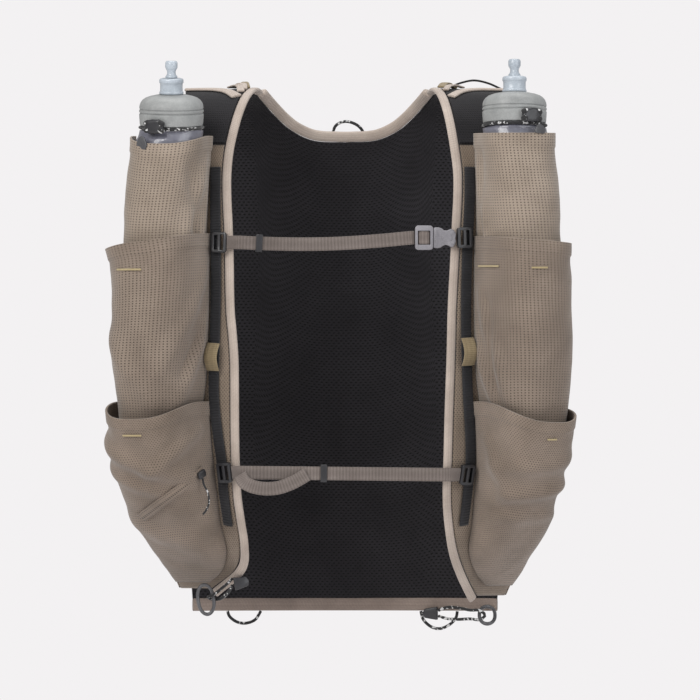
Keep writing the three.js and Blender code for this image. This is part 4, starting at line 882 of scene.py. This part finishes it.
for side in sides:
    spots = [openingEdge(side, i / 24) for i in range(25)]
    seat = bindingSettings["front"][0] / 2 + 3 * gap
    route = [(edge + out * seat, normal) for edge, out, normal in spots]
    keep(band("frontBinding_" + side, route, *bindingSettings["front"], rolledKnit, 260, 20, 0.8),
         "binding", "front_binding_" + side)

    top, bottom = bindingSettings["railEnds"]
    falls = [top + (bottom - top) * i / 11 for i in range(12)]
    route = [(railPlace(side, fall, 1.2), frontRow(side, fall)[3]) for fall in falls]
    keep(band("rail_" + side, route, *bindingSettings["rail"], ribbedRail, 220, 16, 0.5), "rail",
         "rail_" + side)


def neckEdge(across):
    forward = (backPoint(across + 0.01, 1) - backPoint(across - 0.01, 1)).normalized()
    return edgeFrame(backPoint(across, 1), backPoint(across, 0.97), forward)


neckReach = 0.97 * neckHalf / (read(vest["backShape"], 1, 1) * halfWidth)
spots = [neckEdge(neckReach * (i / 8 - 1)) for i in range(17)]
seat = bindingSettings["neck"][0] / 2 + 3 * gap
route = [(edge + out * seat, normal) for edge, out, normal in spots]
keep(band("neckBinding", route, *bindingSettings["neck"], rolledKnit, 220, 20, 0.85), "binding",
     "neck_binding")

# the hem band's upper edge laps the panel
route = [(backPoint(i / 5 - 1, 0) - Vector((0, 0, 4.2)), Vector((0, 1, 0))) for i in range(11)]
keep(band("hemBand", route, *bindingSettings["hem"], hemKnit, 200, 18, 0.6), "binding", "hem_band")
print("bindings and rails are made")

# straps, laid out as their solids are
strapSettings = {"width": 10.5, "thickness": 1.3, "upper": {"left": 0.301, "right": 0.292},
                 "lower": {"left": 0.741, "right": 0.745}}
outwards, inwards = Vector((0, -1, 0)), Vector((-1, 0, 0))


def hookPlace(side, level, past=0):
    spot, normal, across = railFace(side, strapSettings[level][side], gap + 1.7)
    return spot + across * (-sides[side] * (4 + past)), normal


def strapRoute(start, end, sag):
    route = [start[0]]
    for i in range(7):
        p = start[1][0].lerp(end[1][0], i / 6)
        route.append((p + Vector((0, 0, -sag * math.sin(i / 6 * math.pi))), outwards))
    return route + [end[0]]


def strapEnds(side, level):
    return [hookPlace(side, level, 6.6), hookPlace(side, level, 15)]


def strapBand(name, route, node, steps=170):
    width, thickness = strapSettings["width"], strapSettings["thickness"]
    keep(band(name, route, width, thickness, strapWeave, steps, 20, 0.45), "webbing", node)
    return Curve([spot for spot, normal in route])


bodyPlace = hookPlace("right", "upper", 6.6)[0] + inwards * 9.05
ladderPlace = bodyPlace + inwards * 16.05
atLadder = [(ladderPlace + inwards * (7 + past * gap), outwards) for past in (2, 8)]
strapBand("upperStrap", strapRoute(strapEnds("left", "upper"), atLadder, 3), "upper_strap")
route = strapRoute(strapEnds("left", "lower"), strapEnds("right", "lower"), 0)
lowerCurve = strapBand("lowerStrap", route, "lower_strap")
# the loose tail's places on the lower strap, and how far it stands forward and hangs down
tail = [(0.11, 0.36, 0.2), (0.14, 0.6, 0.85), (0.19, 0.9, 1.3), (0.25, 0.9, 1.3), (0.31, 0.65, 0.8),
        (0.36, 0.25, 0.1)]
route = [(lowerCurve.at(t) + Vector((0, -9 * forward, -9 * down)), outwards) for t, forward, down in tail]
strapBand("strapTail", route, "lower_strap_tail", 90)
for side, fall in (("left", 0.52), ("right", 0.51)):
    arch = [railFace(side, fall + (i / 4 - 0.5) * 21 / drop, gap + 0.65 + 5 * math.sin(i / 4 * math.pi))
            for i in range(5)]
    piece = band("tanTab_" + side, [spot[:2] for spot in arch], 11, 1.3, tanWeave, 60, 18, 0.5)
    keep(piece, "webbing", "webbing_tab_" + side)


def yokeBand(name, side, places, lift, width, thickness, material):
    route = []
    for i, (across, along) in enumerate(places):
        u = yokePoint(side, across + 0.01, along) - yokePoint(side, across - 0.01, along)
        v = yokePoint(side, across, along + 0.01) - yokePoint(side, across, along - 0.01)
        normal = (v.cross(u) * sides[side]).normalized()
        rise = lift * math.sin(i / (len(places) - 1) * math.pi)
        route.append((yokePoint(side, across, along) + normal * (2 + 2 * gap + rise), normal))
    return band(name, route, width, thickness, material, 90, 18, 0.6)


trimPlaces = [(0.04, 0.6), (0.25, 0.5), (0.5, 0.42), (0.75, 0.39), (1.0, 0.38)]
for side, width in (("left", 8.6), ("right", 6.8)):
    keep(yokeBand("shoulderTrim_" + side, side, trimPlaces, 0, width, 2, rolledKnit), "binding",
         "shoulder_trim_" + side)
# folded ends of webbing stacked where the trims meet the bindings: side, places, rise and width in mm
shoulderFolds = [("left", [(0.02, 0.5), (0.1, 0.36), (0.2, 0.26), (0.3, 0.2)], 1.5, 6),
                 ("left", [(0.0, 0.42), (0.06, 0.3), (0.16, 0.2), (0.24, 0.14)], 2.6, 5),
                 ("left", [(-0.02, 0.34), (0.04, 0.24), (0.1, 0.16), (0.16, 0.1)], 3.4, 4.5),
                 ("right", [(-0.02, 0.3), (0.06, 0.2), (0.14, 0.14), (0.24, 0.1)], 3, 6),
                 ("right", [(0.0, 0.46), (0.1, 0.34), (0.22, 0.27), (0.34, 0.22)], 1.6, 5)]
for number, (side, places, lift, width) in enumerate(shoulderFolds):
    piece = yokeBand(f"shoulderFold_{number}", side, places, lift, width, 1.6,
                     tanWeave if number in (2, 3) else rolledKnit)
    keep(piece, "webbing")
stripPlaces = [(across, 0.1) for across in (0.14, 0.36, 0.54, 0.76, 0.98)]
keep(yokeBand("shoulderStrip", "right", stripPlaces, 6.5, 6, 1.4, blackTape), "webbing",
     "shoulder_strip_right")

# the slanted zip: its ends in mm from the middle and the top, and its welt and flap
weltSettings = {"low": (157, -333), "high": (112, -298), "welt": (8.5, 1.4), "flap": (4.6, 0.9),
                "flapRise": 1.6}
route = []
for i in range(7):
    x, z = (low + (high - low) * i / 6 for low, high in zip(weltSettings["low"], weltSettings["high"]))
    route.append(pocketPlace("left", "lower", x, -z / drop, gap + 0.7))
keep(band("zipWelt", route, *weltSettings["welt"], lowerMesh, 100, 18, 0.6), "stretch_mesh", "zip_welt")
route = [(spot + normal * 0.9 + Vector((0, 0, weltSettings["flapRise"])), normal) for spot, normal in route]
keep(band("zipFlap", route, *weltSettings["flap"], lowerMesh, 100, 14, 0.6), "stretch_mesh")
print("straps, trims and the zip are made")

# bartacks: short bars of zigzag thread
# lit and shaded thread colours, and groove colours that are painted shade in the grooves
threadTan = ribbedBand("threadTan", (202, 186, 146), (176, 158, 118), (120, 104, 76), 0.0007, 0.0011, 0.6)
threadTaupe = ribbedBand("threadTaupe", (150, 136, 124), (120, 108, 98), (84, 74, 66), 0.0007, 0.0011, 0.6)
bartackSize = (1.5, 0.9)  # width and thickness in mm
# pocket, side, nearest and furthest from the middle and height in mm
bartacks = [
    ("chest", "left", 157, 175, -142, threadTan), ("chest", "right", 104, 120, -139.5, threadTan),
    ("chest", "right", 144, 156, -140.5, threadTan),
    ("lower", "left", 157, 171, -270, threadTan), ("lower", "right", 156, 163, -273, threadTan),
]
for number, (kind, side, near, far, height, thread) in enumerate(bartacks):
    route = [pocketPlace(side, kind, near + (far - near) * i / 4, -height / drop, 0.75) for i in range(5)]
    keep(band(f"bartack_{number}", route, *bartackSize, thread, 40, 10, 0.8), "binding")
for number, (near, far) in enumerate([(-11, 0.5), (12, 23.5)]):
    route = []
    for i in range(5):
        edge, out, normal = neckEdge((near + (far - near) * i / 4) / (0.7 * halfWidth))
        route.append((edge + out * 3.4 - normal * 2.6 + Vector((0, -0.3, 0)), normal))
    keep(band(f"neckBartack_{number}", route, *bartackSize, threadTaupe, 40, 10, 0.8), "binding")
print("bartacks are sewn")

# soft flasks: bottle, screw cap, bite valve, and elastic with its lock; the pull is rounded with the
# moulded parts
capSettings = {"segments": 96, "cap": 3.2, "valve": 27.5, "tip": 40.2}  # heights on the cap's axis in mm
capProfile = [(0, 19), (21.1, 19), (21.1, 0), (23.6, 0), (24.2, 0.3), (24.5, 1), (24.9, 6), (25, 8.6),
              (24.9, 9), (24.2, 9.4), (24.2, 9.9), (24.9, 10.3), (25, 10.8),
              (25, 11.6), (24.9, 12), (24.2, 12.4), (24.2, 12.8), (24.8, 13.2), (24.9, 14.2), (24.6, 16),
              (23.8, 18), (22.4, 19.8), (20.2, 21.4), (17, 22.6), (13, 23.5), (9.8, 24), (0, 24)]
valveProfile = [(0, 0), (9.1, 0), (9.4, 0.3), (9.4, 1.5), (9.2, 1.9), (8.8, 2.2), (8.7, 5), (8.7, 8.1),
                (9.1, 8.5), (9.4, 8.9), (9.4, 10.8), (9.2, 11.4), (8.6, 12), (7.4, 12.3), (5.6, 12.4),
                (0, 12.4)]
tipProfile = [(1.5, 0), (4.5, 0), (4.7, 0.4), (4.6, 1.2), (3.9, 1.9), (3.4, 3), (3.3, 4.6), (3.6, 5.8),
              (4.4, 7), (4.8, 8.2), (4.8, 11.4), (4.5, 12.3), (3.8, 12.9), (2.6, 13), (1.8, 12.8),
              (1.5, 12.4), (1.5, 0)]
elasticTurns = [k / 12 * 2 * math.pi for k in range(13)]
elasticProfile = [(23.7 + 1.9 * math.cos(turn), 1.6 + 1.25 * math.sin(turn)) for turn in elasticTurns]


def turnedPiece(name, profile, material, head, lift):
    last = len(profile) - 1

    def surface(u, v):
        run = v * last
        i = min(int(run + 1e-6), last - 1)
        radius = profile[i][0] + (profile[i + 1][0] - profile[i][0]) * (run - i)
        height = profile[i][1] + (profile[i + 1][1] - profile[i][1]) * (run - i)
        return head @ Vector((radius * math.cos(u * 2 * math.pi), radius * math.sin(u * 2 * math.pi),
                              height + lift))

    piece = shapedGrid(name, capSettings["segments"], last, surface, material, (0.15, 0.06))
    closeSeams(piece)
    deselectAll()
    piece.select_set(True)
    bpy.context.view_layer.objects.active = piece
    bpy.ops.object.shade_smooth_by_angle(angle=math.radians(50))
    return piece


# a squarish rounded body: less power is squarer
def roundedBody(name, size, frameMatrix, material, power=0.5, dents=None):
    def surface(u, v):
        a, b = (u - 0.5) * 2 * math.pi, (v - 0.5) * math.pi
        ring, rise = softened(math.cos(b), power), softened(math.sin(b), power)
        wide, deep = softened(math.cos(a), power), softened(math.sin(a), power)
        p = Vector((ring * wide * size[0] / 2, ring * deep * size[1] / 2, rise * size[2] / 2))
        return frameMatrix @ (dents(p) if dents else p)

    piece = shapedGrid(name, 48, 28, surface, material, (0.04, 0.02))
    closeSeams(piece)
    return piece


def lumpy(p):
    return p * (1 + 0.1 * noise.noise(p * 0.3))


def pocketMiddle(side, z):
    table = pockets["flask"][side]
    fall = max(-z / drop, table[0][0])
    across, normal = frontRow(side, fall)[2:]
    middle = (pocketPoint(side, "flask", 0, fall) + pocketPoint(side, "flask", 1, fall)) / 2
    return middle + normal * (read(table, 3, fall) * chestDepth / 2), across * sides[side], normal


# the elastic's lock: degrees round the cap, reach from its axis and height on it in mm
lockSettings = {"turn": 28, "reach": 27.5, "height": {"left": 4, "right": 7.5}, "size": (16, 5, 11)}
bottleSettings = {"neckRadius": 20.5, "shoulder": 3.6, "foot": -250, "width": 54, "depth": 42,
                  "deepest": 24}
# share of the fall, half width and half depth in shares of the bottle's own
bottleRings = [(0.0, 0.46, 0.5), (0.03, 0.47, 0.56), (0.05, 0.496, 0.6), (0.1, 0.5, 0.52),
               (0.2, 0.485, 0.49), (0.5, 0.45, 0.49), (0.86, 0.425, 0.475), (0.96, 0.37, 0.4),
               (0.99, 0.24, 0.25), (1, 0.02, 0.02)]
for joint in frame["joints"]:
    side = "left" if "left" in joint["name"] else "right"
    axis = Vector(joint["axis"]).normalized()
    neck = Vector(joint["pos_m"]) / mm - axis * capSettings["cap"]
    head = Matrix.Translation(neck) @ Vector((0, 0, 1)).rotation_difference(axis).to_matrix().to_4x4()

    def bottleSurface(u, v, side=side, neck=neck, head=head):
        turn = u * 2 * math.pi
        if v < 0.12:
            radius = bottleSettings["neckRadius"] + max(v - 0.1, 0) / 0.02 * bottleSettings["shoulder"]
            return head @ Vector((radius * math.cos(turn), radius * math.sin(turn),
                                  20 * (1 - min(v / 0.1, 1)) - max(v - 0.1, 0) * 15))
        share = (v - 0.12) / 0.88
        fall = share ** 1.25
        z = neck.z - 0.6 + (bottleSettings["foot"] - neck.z + 0.6) * fall
        middle, across, normal = pocketMiddle(side, z)
        blend = smoothStep(fall, 0, 0.07)
        top = neck + Vector((0, 0, z - neck.z))
        middle = top.lerp(middle.xy.to_3d() + Vector((0, 0, z)), blend)
        wrinkle = 1 + 0.015 * math.sin(turn * 5 + z * 0.15) * smoothStep(fall, 0.08, 0.2)
        a = read(bottleRings, 1, fall) * bottleSettings["width"] * wrinkle
        b = min(read(bottleRings, 2, fall) * bottleSettings["depth"], bottleSettings["deepest"])
        return middle + across * (a * math.cos(turn)) - normal * (b * math.sin(turn))

    bottle = shapedGrid("flaskBottle_" + side, 80, 150, bottleSurface, bottleFilm, (0.17, 0.22))
    keep(bottle, "bottle", "flask_bottle_" + side)
    closeSeams(bottle)
    for name, profile, material in (("cap", capProfile, capPlastic), ("valve", valveProfile, valveRubber),
                                    ("tip", tipProfile, valveRubber)):
        piece = turnedPiece(f"flask{name.title()}_{side}", profile, material, head, capSettings[name])
        keep(piece, "cap" if name == "cap" else "valve", f"flask_{name}_{side}", body="cap_" + side)
    elastic = turnedPiece("flaskElastic_" + side, elasticProfile, fleckedCord, head, 0)
    keep(elastic, "black_plastic", "flask_elastic_" + side)

    turn = math.radians(lockSettings["turn"] * sides[side])
    reach = lockSettings["reach"] + gap
    lockSpot = Vector((math.sin(turn) * reach, -math.cos(turn) * reach, lockSettings["height"][side]))
    lockFrame = head @ Matrix.Translation(lockSpot) @ Matrix.Rotation(turn, 4, "Z")
    lock = roundedBody("cordLock_" + side, lockSettings["size"], lockFrame, hookPlastic, 0.55, lumpy)
    knots = []
    for k, j in ((-1, 1), (1, 1), (-1.02, -1), (0.98, -1)):
        spot = lockFrame @ Matrix.Translation((6.2 * k, -0.3, 2.6 * j)) @ Matrix.Rotation(0.5 * k, 4, "Y")
        knots.append(roundedBody(f"lockKnot_{side}_{k}", (5.6, 5, 4.6), spot, fleckedCord, 0.8, lumpy))
    for piece in [lock] + knots:
        keep(piece, "black_plastic")
print("flasks are made")

# the buckle's body: an outline with a notch on each long side, extruded and rounded
buckleOutline = [(-8.7, -8), (-6, -8.2), (-3.4, -7.9), (-1.6, -6.4), (0.8, -5.6), (3, -6.3), (4.6, -7.6),
                 (6.6, -7.2), (8, -5), (8.7, -2.2), (8.1, -0.6), (8.7, 1.2),
                 (8.6, 3.6), (7, 5.8), (5, 7), (3.4, 6.4), (1.4, 5.6), (-0.8, 5.9), (-2.4, 7.4), (-5, 8.1),
                 (-8.7, 8)]
deselectAll()
bpy.ops.mesh.primitive_circle_add(vertices=len(buckleOutline), radius=0.01, fill_type="NGON")
buckleBody = bpy.context.object
buckleBody.name = "buckleBody"
for point, (x, z) in zip(buckleBody.data.vertices, buckleOutline):
    point.co = (bodyPlace + Vector((x, -2.5, z))) * mm
bpy.ops.object.mode_set(mode="EDIT")
bpy.ops.mesh.select_all(action="SELECT")
bpy.ops.mesh.extrude_region_move(TRANSFORM_OT_translate={"value": (0, 5 * mm, 0)})
bpy.ops.mesh.select_all(action="SELECT")
bpy.ops.mesh.normals_make_consistent(inside=False)
bpy.ops.object.mode_set(mode="OBJECT")
buckleBody.data.materials.append(bucklePlastic)
applyModifier(buckleBody, "BEVEL", width=1.1 * mm, segments=4, limit_method="ANGLE",
              angle_limit=math.radians(50))
bpy.ops.object.shade_smooth_by_angle(angle=math.radians(45))
keep(buckleBody, "buckle", "buckle_body")
for number, (x, z, size) in enumerate([(-6.4, 0, (2.2, 1, 12.6)), (1.6, 0, (8, 1.2, 5.4)),
                                       (6.4, -3.6, (2.6, 1, 3)), (6.2, 3.6, (2.6, 1, 3))]):
    rib = roundedBody(f"buckleRib_{number}", size, Matrix.Translation(bodyPlace + Vector((x, -2.5, z))),
                      bucklePlastic, 0.6)
    keep(rib, "buckle")
ladderSpots = [(-4.5, 0.9), (-3.2, -0.9), (0, -1.5), (3.2, -0.9), (4.5, 0.9)]
route = [(ladderPlace + Vector((x, y, 0)), outwards) for x, y in ladderSpots]
keep(band("ladderStrap", route, 10.3, 1.2, strapWeave, 40, 16, 0.5), "webbing")
print("buckle is made")


# moulded parts: a copy of the solid with its edges rounded
def roundedCopy(name, node, width, material, slotName):
    source = frame["nodes"][node]
    mesh = source.data.copy()
    mesh.name = name
    piece = bpy.data.objects.new(name, mesh)
    bpy.context.scene.collection.objects.link(piece)
    shape = bmesh.new()
    shape.from_mesh(mesh)
    bmesh.ops.remove_doubles(shape, verts=shape.verts, dist=2e-6)
    bmesh.ops.dissolve_limit(shape, angle_limit=math.radians(2), verts=shape.verts, edges=shape.edges)
    shape.to_mesh(mesh)
    shape.free()
    mesh.materials.clear()
    mesh.materials.append(material)
    applyModifier(piece, "BEVEL", width=width * mm, segments=3, limit_method="ANGLE",
                  angle_limit=math.radians(28))
    bpy.ops.object.shade_smooth_by_angle(angle=math.radians(40))
    return keep(piece, slotName, node)


roundedCopy("buckleLadder", "buckle_ladder", 0.9, bucklePlastic, "buckle")
# piece, node and rounding in mm
for name, node, rounding in (("upperKeeper", "upper_keeper", 0.35), ("lowerKeeper", "lower_keeper", 0.35),
                             ("zipSlider", "zip_slider", 0.7)):
    roundedCopy(name, node, rounding, hookPlastic, "black_plastic")
for side in sides:
    for name, node, rounding in (("upperHook_", "upper_hook_", 0.6), ("lowerHook_", "lower_hook_", 0.6),
                                 ("cordTab_", "cord_tab_", 0.9)):
        roundedCopy(name + side, node + side, rounding, hookPlastic, "black_plastic")
    roundedCopy("flaskPull_" + side, "flask_pull_" + side, 0.45, greyRubber, "grey_plastic")
ringSettings = {"width": 15, "height": 26, "bar": 2.8, "thickness": 3}
for side, spot, lean in (("left", (-108.5, -2.5, -399), (0, -8, 0)),
                         ("right", (111.2, 40, -411.8), (-55, 0, 0))):
    ringFrame = Matrix.Translation(spot) @ Euler([math.radians(a) for a in lean]).to_matrix().to_4x4()

    def ringSurface(u, v, ringFrame=ringFrame):
        turn, section = v * 2 * math.pi, u * 2 * math.pi
        a, b = ((ringSettings[way] - ringSettings["bar"]) / 2 for way in ("width", "height"))
        c, d = math.cos(turn), math.sin(turn)
        rise = softened(d, 0.85)
        reach = ringSettings["bar"] / 2 * math.cos(section)
        return ringFrame @ Vector((c * (a + reach), math.sin(section) * ringSettings["thickness"] / 2,
                                   b * rise + reach * d))

    ring = shapedGrid("cordRing_" + side, 20, 72, ringSurface, greyRubber, (0.01, 0.06))
    closeSeams(ring)
    keep(ring, "grey_plastic", "cord_ring_" + side)
print("moulded parts are rounded")

# floor, outside the object: it serves the views from above and lies below the front view
deselectAll()
bpy.ops.mesh.primitive_circle_add(vertices=96, radius=2.4, fill_type="NGON", location=(0, 0, -0.62))
bpy.ops.object.transform_apply(location=True, rotation=False, scale=False)
floor = bpy.context.object
floor.name = "floor"
floor.data.materials.append(floorMaterial)

for side in sides:
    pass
